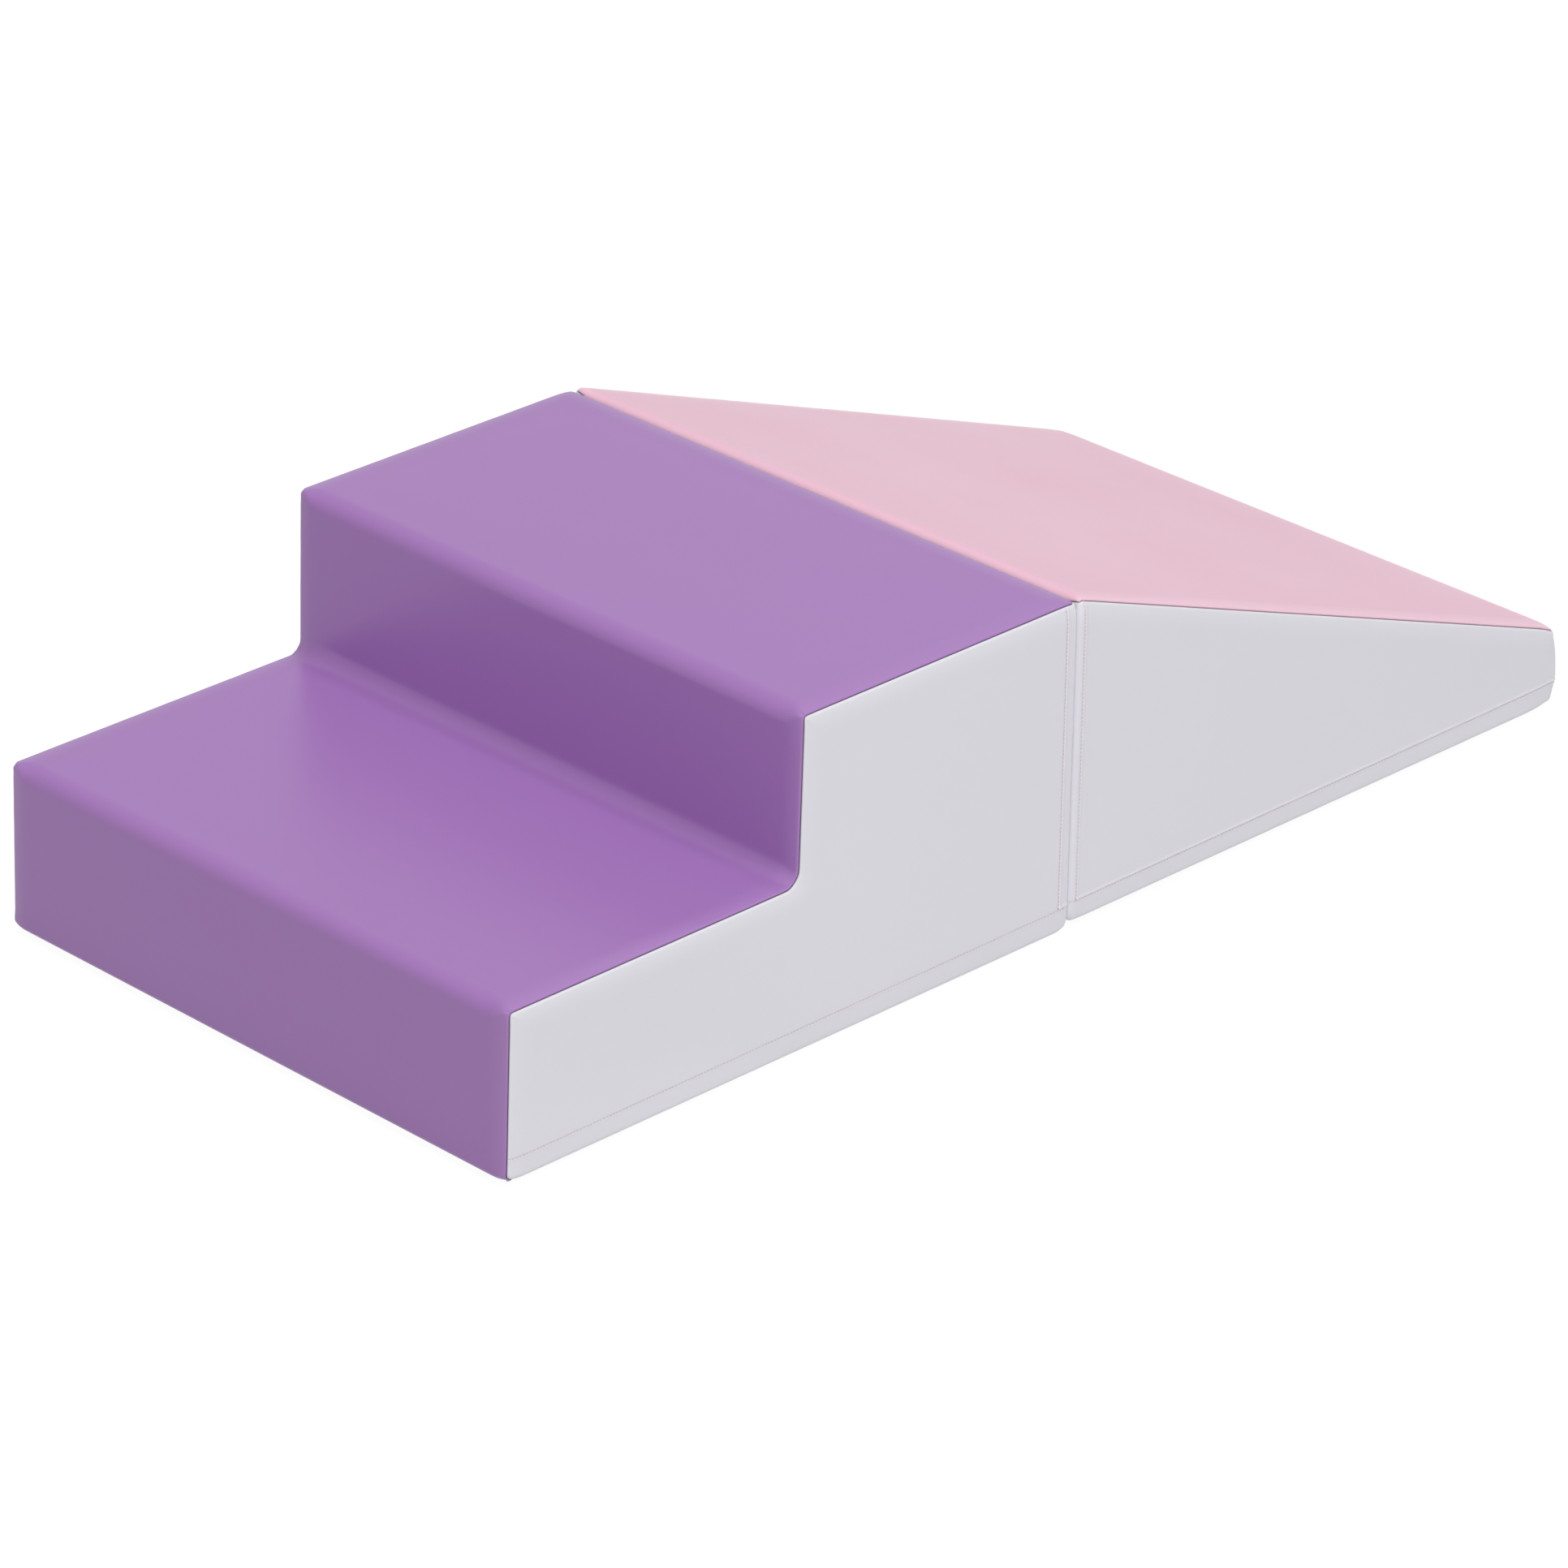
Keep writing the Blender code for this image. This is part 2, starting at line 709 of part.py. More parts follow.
def zip_tapes_and_coils(prefix, centre):
    """The two woven tapes and the coil on each one's inner edge."""
    for side, place in ((-1, "front"), (1, "rear")):
        inner = side * SLIT / 2
        outer = side * (SLOT_WIDTH / 2 + COVER + TAPE_LAP)
        near, far = sorted((centre + inner, centre + outer))
        box_object(
            prefix + "_zip_tape_" + place,
            (near, -TAPE_LENGTH / 2, tape_low()),
            (far, TAPE_LENGTH / 2, tape_low() + TAPE),
            "zip_tape",
        )
        near, far = sorted((centre + inner, centre + inner + side * COIL_WIDTH))
        coil = box_object(
            prefix + "_zip_coil_" + place,
            (near, -CHAIN_LENGTH / 2, coil_low()),
            (far, CHAIN_LENGTH / 2, coil_low() + COIL_HEIGHT),
            "zip_coil",
        )
        bevel = coil.modifiers.new("round", "BEVEL")
        bevel.width = COIL_ROUND
        bevel.segments = COIL_STEPS


def zip_stops(prefix, centre):
    """A crimped metal stop over the coils at each end of the chain."""
    half = SLIT / 2 + COIL_WIDTH + FIT_GAP
    top = coil_low() + COIL_HEIGHT + FIT_GAP
    for end, place in ((-1, "bottom"), (1, "top")):
        name = prefix + "_zip_stop_" + place
        middle = end * (CHAIN_LENGTH - STOP_LENGTH) / 2
        outer = half + STOP_WALL
        stop = box_object(
            name,
            (centre - outer, middle - STOP_LENGTH / 2, coil_low()),
            (centre + outer, middle + STOP_LENGTH / 2, top + STOP_WALL),
            "zip_metal",
        )
        hollow = box_object(
            name + "_hollow",
            (centre - half, middle - STOP_LENGTH, coil_low() - STOP_WALL),
            (centre + half, middle + STOP_LENGTH, top),
            "zip_metal",
        )
        combine(stop, hollow, "DIFFERENCE")


def zip_slider(prefix, centre):
    """The slider: two plates joined by a neck, flanges over the coils and a bridge below."""
    name = prefix + "_zip_slider"
    middle = slider_centre()
    half_length = SLIDER_LENGTH / 2
    half_width = SLIDER_WIDTH / 2
    low_plate_top = tape_low() - SLIDER_RUN_GAP
    low_plate_low = low_plate_top - SLIDER_PLATE
    high_plate_low = coil_low() + COIL_HEIGHT + SLIDER_RUN_GAP
    slider = box_object(
        name,
        (centre - half_width, middle - half_length, low_plate_low),
        (centre + half_width, middle + half_length, low_plate_top),
        "zip_metal",
        SLIDER_ROUND,
    )
    high_plate = box_object(
        name + "_plate",
        (centre - half_width, middle - half_length, high_plate_low),
        (centre + half_width, middle + half_length, zip_top()),
        "zip_metal",
        SLIDER_ROUND,
    )
    combine(slider, high_plate, "UNION")
    neck = box_object(
        name + "_neck",
        (centre - NECK_WIDTH / 2, middle + half_length - NECK_LENGTH, low_plate_low + SLIDER_PLATE / 2),
        (centre + NECK_WIDTH / 2, middle + half_length - SLIDER_ROUND / 2, zip_top() - SLIDER_PLATE / 2),
        "zip_metal",
    )
    combine(slider, neck, "UNION")
    for side in (-1, 1):
        near, far = sorted((centre + side * half_width, centre + side * (half_width - SLIDER_FLANGE)))
        flange = box_object(
            name + "_flange",
            (near, middle - half_length + SLIDER_ROUND, coil_low()),
            (far, middle + half_length - SLIDER_ROUND, zip_top() - SLIDER_PLATE / 2),
            "zip_metal",
        )
        combine(slider, flange, "UNION")
    bridge_low = low_plate_low - BRIDGE_OPENING - BRIDGE_BAR
    bridge = box_object(
        name + "_bridge",
        (centre - BRIDGE_WIDTH / 2, middle - BRIDGE_LENGTH / 2, bridge_low),
        (centre + BRIDGE_WIDTH / 2, middle + BRIDGE_LENGTH / 2, low_plate_low + SLIDER_PLATE / 2),
        "zip_metal",
    )
    opening = box_object(
        name + "_bridge_opening",
        (centre - BRIDGE_WIDTH, middle - BRIDGE_LENGTH / 2 + BRIDGE_FOOT, bridge_low + BRIDGE_BAR),
        (centre + BRIDGE_WIDTH, middle + BRIDGE_LENGTH / 2 - BRIDGE_FOOT, low_plate_low),
        "zip_metal",
    )
    combine(bridge, opening, "DIFFERENCE")
    return combine(slider, bridge, "UNION")


def zip_pull(prefix, centre):
    """The pull tab, looped round the bridge, with its origin on its hinge axis."""
    name = prefix + "_zip_pull"
    half_width = PULL_WIDTH / 2
    half_thick = PULL_THICKNESS / 2
    pull = box_object(
        name,
        (-half_width, -PULL_LENGTH, -half_thick),
        (half_width, half_thick, half_thick),
        "zip_metal",
        PULL_ARM,
    )
    window = box_object(
        name + "_window",
        (-half_width + PULL_ARM, -PULL_REACH, -PULL_THICKNESS),
        (half_width - PULL_ARM, -half_thick, PULL_THICKNESS),
        "zip_metal",
    )
    combine(pull, window, "DIFFERENCE")
    shape = bmesh.new()
    bmesh.ops.create_cone(
        shape,
        cap_ends=True,
        segments=ROUND_SIDES,
        radius1=PULL_TIP_HOLE / 2,
        radius2=PULL_TIP_HOLE / 2,
        depth=2 * PULL_THICKNESS,
    )
    bmesh.ops.translate(
        shape, vec=Vector((0, -PULL_LENGTH + PULL_TIP_INSET, 0)), verts=shape.verts
    )
    combine(pull, add_object(name + "_hole", shape, "zip_metal"), "DIFFERENCE")
    pull.location = (centre, slider_centre(), pull_axis_height())
    return pull


def closure(prefix, centre):
    """Everything of one block's zip."""
    zip_tapes_and_coils(prefix, centre)
    zip_stops(prefix, centre)
    zip_slider(prefix, centre)
    zip_pull(prefix, centre)


def fastening_strips(name, low_x, high_x):
    """Two level strips of hook, or loop, on a block's mating face."""
    for place, height in (("low", LOW_STRIP_CENTRE), ("high", HIGH_STRIP_CENTRE)):
        shape = bmesh.new()
        add_box(shape, (0, 0, 0), (STRIP_HEIGHT, STRIP_LENGTH, high_x - low_x), STRIP_CORNER)
        bmesh.ops.rotate(
            shape, cent=Vector(), matrix=Matrix.Rotation(RIGHT_ANGLE, 3, "Y"), verts=shape.verts
        )
        bmesh.ops.translate(
            shape, vec=Vector(((low_x + high_x) / 2, 0, height)), verts=shape.verts
        )
        add_object(name + "_" + place, shape, "hook_and_loop")


def step_block():
    """The step block: two treads in one purple strip between grey sides."""
    low = FRONT_X
    rear = STEP_REAR_X
    riser = FRONT_X + FIRST_TREAD_DEPTH
    profile = [
        (low, 0),
        (low, FIRST_TREAD_HEIGHT),
        (riser, FIRST_TREAD_HEIGHT),
        (riser, STEP_HEIGHT),
        (rear, STEP_HEIGHT),
        (rear, 0),
    ]
    radii = [EDGE_ROLL, NOSE_RADIUS, INNER_RADIUS, NOSE_RADIUS, EDGE_ROLL, EDGE_ROLL]
    crowns = [RISER_CROWN, TREAD_CROWN, RISER_CROWN, TREAD_CROWN, None, None]
    strip = [(rear, 0)] + profile
    strip_radii = [None] + radii[:-1] + [None]
    step_seam = (RIGHT_ANGLE, SEAM_ANGLE)
    top_cover(
        "step_top_cover", strip, strip_radii, [None] + crowns[:-1], (None, step_seam), "purple_vinyl"
    )

    wrap_x = rear - STEP_WRAP
    side = [
        (low, BAND_HEIGHT),
        (low, FIRST_TREAD_HEIGHT),
        (riser, FIRST_TREAD_HEIGHT),
        (riser, STEP_HEIGHT),
        (wrap_x, STEP_HEIGHT),
        (wrap_x, BAND_HEIGHT),
    ]
    side_radii = [LEAST_RADIUS, NOSE_RADIUS, INNER_RADIUS, NOSE_RADIUS, LEAST_RADIUS, LEAST_RADIUS]
    rolled = [True, True, True, True, False, False]
    least_height = FIRST_TREAD_HEIGHT - BAND_HEIGHT
    side_panel("step_side_panel_left", 1, side, side_radii, rolled, least_height)
    side_panel("step_side_panel_right", -1, side, side_radii, rolled, least_height)

    wrap = [
        (wrap_x + FIT_GAP / 2, HALF_WIDTH),
        (rear, HALF_WIDTH),
        (rear, -HALF_WIDTH),
        (wrap_x + FIT_GAP / 2, -HALF_WIDTH),
    ]
    wrap_radii = [None, EDGE_ROLL, EDGE_ROLL, None]
    stations = top_rolled_stations(BAND_HEIGHT, STEP_HEIGHT - EDGE_ROLL, SEAM_ANGLE)
    upright_strip(
        "step_rear_panel", wrap, wrap_radii, stations, lambda roll_angle: (None, None), "grey_vinyl"
    )

    band = [
        (low, 0),
        (low, HALF_WIDTH),
        (rear, HALF_WIDTH),
        (rear, -HALF_WIDTH),
        (low, -HALF_WIDTH),
        (low, 0),
    ]
    band_radii = [None, EDGE_ROLL, EDGE_ROLL, EDGE_ROLL, EDGE_ROLL, None]

    def band_shares(roll_angle):
        """Where the band starts and ends round the front corners."""
        share = corner_seam_share(SEAM_ANGLE + HALF_GAP_ANGLE, roll_angle)
        return share, 1.0 - share

    upright_strip("step_base_band", band, band_radii, base_band_stations, band_shares, "grey_vinyl")

    zip_centre = rear - ZIP_INSET
    base_panel("step_base_panel", low, rear, zip_centre)
    core = foam_core(profile, [*radii[:2], FOAM_INNER_RADIUS, *radii[3:]])
    slab("step_foam_lower", core, None, SLAB_SPLIT, zip_centre)
    slab("step_foam_upper", core, SLAB_SPLIT, None, None)
    core.free()
    closure("step", zip_centre)
    fastening_strips("step_hook_strip", rear + FIT_GAP, rear + FIT_GAP + HOOK_STRIP)


def ramp_block():
    """The ramp block: a pink slide strip from the crest to the toe between grey sides."""
    low = RAMP_X
    toe = TOE_X
    profile = [(low, 0), (low, CREST_HEIGHT), (toe, TOE_HEIGHT), (toe, 0)]
    radii = [EDGE_ROLL] * len(profile)
    crowns = [None, SLIDE_CROWN, None, None]
    top_cover(
        "ramp_top_cover",
        profile,
        [None, EDGE_ROLL, EDGE_ROLL, None],
        crowns[:-1],
        ((CREST_TURN, SEAM_ANGLE), (TOE_TURN, TOE_SEAM_ANGLE)),
        "pink_vinyl",
    )

    wrap_x = low + RAMP_WRAP
    wrap_height = CREST_HEIGHT - RAMP_WRAP * math.tan(SLOPE)
    side = [(wrap_x, BAND_HEIGHT), (wrap_x, wrap_height), (toe, TOE_HEIGHT), (toe, BAND_HEIGHT)]
    side_radii = [LEAST_RADIUS, LEAST_RADIUS, EDGE_ROLL, LEAST_RADIUS]
    rolled = [False, True, True, False]
    least_height = TOE_HEIGHT - BAND_HEIGHT
    side_panel("ramp_side_panel_left", 1, side, side_radii, rolled, least_height)
    side_panel("ramp_side_panel_right", -1, side, side_radii, rolled, least_height)

    wrap = [
        (wrap_x - FIT_GAP / 2, -HALF_WIDTH),
        (low, -HALF_WIDTH),
        (low, HALF_WIDTH),
        (wrap_x - FIT_GAP / 2, HALF_WIDTH),
    ]
    crest_centre = CREST_HEIGHT - EDGE_ROLL * (math.tan(SLOPE) + 1 / math.cos(SLOPE))
    wrap_angle = SEAM_ANGLE - WRAP_DROP / EDGE_ROLL
    stations = top_rolled_stations(BAND_HEIGHT, crest_centre, wrap_angle)
    upright_strip(
        "ramp_high_panel",
        wrap,
        [None, EDGE_ROLL, EDGE_ROLL, None],
        stations,
        lambda roll_angle: (None, None),
        "grey_vinyl",
    )

    toe_front = [(low, HALF_WIDTH), (toe, HALF_WIDTH), (toe, -HALF_WIDTH), (low, -HALF_WIDTH)]
    toe_centre = TOE_HEIGHT + EDGE_ROLL * (math.tan(SLOPE) - 1 / math.cos(SLOPE))
    stations = top_rolled_stations(BAND_HEIGHT, toe_centre, TOE_SEAM_ANGLE)

    def toe_shares(roll_angle):
        """Where the toe panel starts and ends round its corners."""
        share = 1.0 - corner_seam_share(SEAM_ANGLE - HALF_GAP_ANGLE, roll_angle)
        return share, 1.0 - share

    upright_strip(
        "ramp_toe_panel",
        toe_front,
        [None, EDGE_ROLL, EDGE_ROLL, None],
        stations,
        toe_shares,
        "grey_vinyl",
    )

    plan = [(low, HALF_WIDTH), (toe, HALF_WIDTH), (toe, -HALF_WIDTH), (low, -HALF_WIDTH)]
    crownless = [None] * len(plan)
    surfaces = []
    for offset in (0.0, COVER):
        rows = []
        for height, inset, _ in base_band_stations(offset):
            outline = closed_outline(plan, radii, [inset] * len(plan), crownless)
            rows.append([level(point, height) for point in outline])
        surfaces.append(rows)
    sheet("ramp_base_band", surfaces[0], surfaces[1], "grey_vinyl", closed=True)

    zip_centre = low + ZIP_INSET
    base_panel("ramp_base_panel", low, toe, zip_centre)
    core = foam_core(profile, radii)
    slab("ramp_foam_lower", core, None, SLAB_SPLIT, zip_centre)
    slab("ramp_foam_upper", core, SLAB_SPLIT, None, None)
    core.free()
    closure("ramp", zip_centre)
    fastening_strips("ramp_loop_strip", low - FIT_GAP - LOOP_STRIP, low - FIT_GAP)


def main():
    """Build the pair of blocks."""
    clear_scene()
    step_block()
    ramp_block()
    bpy.context.view_layer.update()


main()
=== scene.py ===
"""Looks of the soft play foam climber: stitched covers over foam, zips, fastenings and studio."""

import logging
import math
from dataclasses import dataclass
from enum import Enum
from typing import Callable, Iterable, Optional, Sequence, Union

import bmesh
import bpy
import numpy as np
from mathutils import Matrix, Vector, kdtree, noise


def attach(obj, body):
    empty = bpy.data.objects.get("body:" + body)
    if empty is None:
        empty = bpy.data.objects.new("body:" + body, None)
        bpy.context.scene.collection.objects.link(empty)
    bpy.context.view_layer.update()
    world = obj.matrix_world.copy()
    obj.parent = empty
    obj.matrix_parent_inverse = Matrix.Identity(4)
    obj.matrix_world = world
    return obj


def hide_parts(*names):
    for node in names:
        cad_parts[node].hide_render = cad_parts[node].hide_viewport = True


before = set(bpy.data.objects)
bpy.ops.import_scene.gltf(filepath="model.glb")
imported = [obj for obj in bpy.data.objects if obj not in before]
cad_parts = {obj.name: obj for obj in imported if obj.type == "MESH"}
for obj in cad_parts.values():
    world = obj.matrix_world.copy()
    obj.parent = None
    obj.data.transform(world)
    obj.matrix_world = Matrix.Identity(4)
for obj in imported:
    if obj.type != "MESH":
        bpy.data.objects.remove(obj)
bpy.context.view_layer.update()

logging.basicConfig(level=logging.INFO, format="%(message)s")
LOG = logging.getLogger("climber")

MM = 0.001
RIGHT_ANGLE = math.pi / 2

Flat = tuple[float, float]
Colour = tuple[float, float, float]
Place = tuple[float, float, float]
Socket = bpy.types.NodeSocket
Array = np.ndarray
Shape = bmesh.types.BMesh
Material = bpy.types.Material
Piece = bpy.types.Object


class Seam(Enum):
    """How a cover panel ends along one of its edges."""

    NONE = "none"
    ROLLED = "rolled"
    STITCHED = "stitched"
    BASE = "base"


class Side(Enum):
    """The two sides of a block, by the sign of their Y."""

    LEFT = 1
    RIGHT = -1


@dataclass(frozen=True)
class CornerRadius:
    """A rounded corner's radius at the cover's seams and in its middle, in metres."""

    seam: float
    middle: float

    def at(self, openness: float) -> float:
        """Return the radius at some way, from 0 to 1, from the seam to the middle."""
        return self.seam + (self.middle - self.seam) * openness


@dataclass(frozen=True)
class CoverSizes:
    """Sizes shared by the covers of both blocks, in metres and radians."""

    half_width: float = 305 * MM
    edge_roll: float = 5.5 * MM
    thickness: float = 1.2 * MM
    seam_gap: float = 0.45 * MM
    stitch_gap: float = 0.06 * MM
    band_height: float = 23.5 * MM
    seam_angle: float = math.radians(45)
    toe_seam_angle: float = math.radians(40)
    floor_roll: float = math.radians(88)
    opening: float = 18 * MM
    pitch: float = 5 * MM
    band_pitch: float = 1.2 * MM
    arc_steps: int = 12

    @property
    def half_gap_angle(self) -> float:
        """Half of the gap at a rolled seam, as an angle of the edge's roll."""
        return self.seam_gap / 2 / self.edge_roll

    @property
    def edge(self) -> CornerRadius:
        """The radius of a plain rolled edge."""
        return CornerRadius(self.edge_roll, self.edge_roll)


@dataclass(frozen=True)
class StepSizes:
    """The step block's profile, in metres."""

    front: float = -640 * MM
    length: float = 642 * MM
    height: float = 306.6 * MM
    tread_depth: float = 320 * MM
    tread_height: float = 156.4 * MM
    nose: CornerRadius = CornerRadius(7 * MM, 15 * MM)
    hollow: CornerRadius = CornerRadius(10 * MM, 15.5 * MM)
    wrap: float = 13.5 * MM
    first_lean: float = 4.2 * MM
    second_lean: float = 3.6 * MM

    @property
    def rear(self) -> float:
        """X of the rear face."""
        return self.front + self.length

    @property
    def riser(self) -> float:
        """X of the second riser."""
        return self.front + self.tread_depth


@dataclass(frozen=True)
class RampSizes:
    """The ramp block's profile, in metres and radians."""

    high: float = 5 * MM
    length: float = 635 * MM
    crest_height: float = 307.6 * MM
    toe_height: float = 77 * MM
    crest: CornerRadius = CornerRadius(5.5 * MM, 10 * MM)
    toe_edge: CornerRadius = CornerRadius(5.5 * MM, 9 * MM)
    wrap: float = 6.2 * MM
    low_seam_angle: float = math.radians(16)
    corner_swing: float = math.radians(80)

    @property
    def toe(self) -> float:
        """X of the toe's face."""
        return self.high + self.length

    @property
    def slope(self) -> float:
        """Angle of the slide below level."""
        return math.atan2(self.crest_height - self.toe_height, self.length)

    def crest_angle(self, swing: Union[float, Array]) -> Array:
        """Angle round the crest's roll of the seam below it, at a swing round the upright corner.

        Args:
            swing: The angle round the corner, from the high face.

        Returns:
            The seam's angle, which is least on the face.
        """
        share = smooth_share(swing / self.corner_swing)
        return self.low_seam_angle + (COVER.seam_angle - self.low_seam_angle) * share

    def crest_share(self, roll: float, turn: float) -> float:
        """Share of the crest's turn at which the seam crosses a row of the top cover.

        Args:
            roll: The row's own roll angle.
            turn: The crest's whole turn.

        Returns:
            The share, from the high face.
        """
        swings = np.linspace(0.0, RIGHT_ANGLE, CREST_SAMPLES)
        angles = self.crest_angle(swings)
        swing = float(np.interp(math.sin(roll), np.cos(angles) * np.sin(swings), swings))
        return climb_share(turn, float(self.crest_angle(swing)), roll)


@dataclass(frozen=True)
class ZipSizes:
    """A zip's sizes and places, in metres."""

    inset: float = 95 * MM
    slot_width: float = 22 * MM
    slot_length: float = 510 * MM
    hem_height: float = 6 * MM
    tape_low: float = 6.3 * MM
    tape: float = 0.6 * MM
    tape_length: float = 512 * MM
    tape_outer: float = 16.2 * MM
    slit: float = 1.4 * MM
    coil_low: float = 7.2 * MM
    coil_width: float = 1.7 * MM
    coil_height: float = 1.5 * MM
    coil_length: float = 492 * MM
    coil_pitch: float = 1.3 * MM
    coil_wire: float = 0.42 * MM
    top: float = 10.25 * MM
    channel_margin: float = 7.2 * MM
    channel_room: float = 3 * MM


@dataclass(frozen=True)
class StripSizes:
    """The sizes and places of the hook and loop strips, in metres."""

    length: float = 500 * MM
    height: float = 50 * MM
    low_centre: float = 75 * MM
    high_centre: float = 235 * MM
    hook: float = 1.2 * MM
    loop: float = 0.9 * MM
    backing: float = 0.5 * MM
    pile_pitch: float = 1.1 * MM
    border: float = 3 * MM


COVER = CoverSizes()
STEP = StepSizes()
RAMP = RampSizes()
ZIP = ZipSizes()
STRIP = StripSizes()
BLOCK_CLEARANCE = 0.3 * MM
FOAM_INSET = 3 * MM
SLAB_SPLIT = 154.5 * MM
SLAB_GAP = 0.3 * MM

# Distances from a seam at which a panel's rows of points stand
NEAR_SEAM = tuple(step * MM for step in (0, 0.12, 0.3, 0.55, 0.9, 1.35, 1.9, 2.6, 3.5, 4.6, 6.1, 8, 10.5, 14, 18))
# The largest share of a run that those rows take up at one end
NEAR_SHARE = 0.45
# The row beside a seam that its stitches follow
THREAD_ROW = 3
# Heights over which a rolled seam takes its shape above a band that runs on under it, and above the floor
BAND_FADE = 50 * MM
FOOT_FADE = 18 * MM
# The share of the front foot's roll at which the purple cover starts
FOOT_START = 0.02
CREST_SAMPLES = 181
SIDE_CROWN = 0.9 * MM
# How far the cover stands up beside a flat seam, at a side panel and at a base band
SIDE_RIDGE = 0.75 * MM
BAND_RIDGE = 0.2 * MM
PILE_SEED = 7


def graded(length: float, fine_start: bool, fine_end: bool, pitch: float = COVER.pitch) -> list[float]:
    """Distances from nothing to a length, close together near the ends that are seams.

    Args:
        length: The whole length.
        fine_start: Whether the start is a seam.
        fine_end: Whether the end is a seam.
        pitch: The spacing elsewhere.

    Returns:
        The distances in order.
    """
    near = [gap for gap in NEAR_SEAM if gap < length * NEAR_SHARE]
    start = near if fine_start else [0.0]
    end = [length - gap for gap in near][::-1] if fine_end else [length]
    span = end[0] - start[-1]
    count = max(1, round(span / pitch))
    return start + [start[-1] + span * step / count for step in range(1, count)] + end


def unit(vector: Array) -> Array:
    """Return a vector at length one."""
    return vector / np.linalg.norm(vector)


def right_of(along: Array) -> Array:
    """Return the direction to the right of a flat direction."""
    return np.array([along[1], -along[0]])


def smooth_share(value: Union[float, Array]) -> Array:
    """Return shares eased in and out between 0 and 1."""
    held = np.clip(value, 0.0, 1.0)
    return held * held * (3 - 2 * held)


def evaluated_mesh(item: Piece) -> bpy.types.Mesh:
    """Return a new mesh with an object's modifiers applied."""
    depsgraph = bpy.context.evaluated_depsgraph_get()
    return bpy.data.meshes.new_from_object(item.evaluated_get(depsgraph))


def vertex_places(mesh: bpy.types.Mesh) -> Array:
    """Return a mesh's points."""
    found = np.zeros(len(mesh.vertices) * 3)
    mesh.vertices.foreach_get("co", found)
    return found.reshape(-1, 3)


def vertex_normals(mesh: bpy.types.Mesh) -> Array:
    """Return the normals at a mesh's points."""
    found = np.zeros(len(mesh.vertices) * 3, np.float32)
    mesh.vertex_normals.foreach_get("vector", found)
    return found.reshape(-1, 3).astype(float)


def link(name: str, mesh: bpy.types.ID) -> Piece:
    """Put a mesh, curve, lamp or camera in the scene under a name."""
    item = bpy.data.objects.new(name, mesh)
    bpy.context.scene.collection.objects.link(item)
    return item


def to_mesh(name: str, shape: Shape, material: Material,
            smooth: bool = True) -> bpy.types.Mesh:
    """Turn a bmesh into a mesh with its finish."""
    mesh = bpy.data.meshes.new(name)
    for face in shape.faces:
        face.smooth = smooth
    shape.to_mesh(mesh)
    shape.free()
    mesh.materials.append(material)
    return mesh


def thicken(piece: Piece, thickness: float, offset: float) -> None:
    """Give a piece its thickness, behind its faces (-1) or in front of them (1)."""
    solidify = piece.modifiers.new("thickness", "SOLIDIFY")
    solidify.thickness = thickness
    solidify.offset = offset


def turn_towards(shape: Shape, outward: Vector) -> None:
    """Turn an open shape's faces over if as a whole they look away from a direction."""
    if sum(face.normal.dot(outward) * face.calc_area() for face in shape.faces) < 0:
        bmesh.ops.reverse_faces(shape, faces=shape.faces)


def cut_shape(shape: Shape, place: Sequence[float], normal: Sequence[float],
              **settings: bool) -> list[bmesh.types.BMEdge]:
    """Cut a shape along a plane and return the edges of the cut."""
    cut = bmesh.ops.bisect_plane(shape, geom=shape.verts[:] + shape.edges[:] + shape.faces[:],
                                 plane_co=Vector(place), plane_no=Vector(normal), **settings)
    return [item for item in cut["geom_cut"] if isinstance(item, bmesh.types.BMEdge)]


def adopt(piece: Piece, body: str, nodes: Iterable[str] = ()) -> None:
    """Tie a piece to its body and hide the CAD nodes that it replaces.

    Args:
        piece: The finished piece.
        body: The body that it rides on.
        nodes: The CAD nodes that it stands for.
    """
    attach(piece, body)
    names = tuple(nodes)
    if names:
        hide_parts(*names)
    LOG.info("%s rides on %s", piece.name, body)


@dataclass
class Walk:
    """Points along a rounded path, with their outward normals and distances along it."""

    points: Array
    normals: Array
    lengths: Array


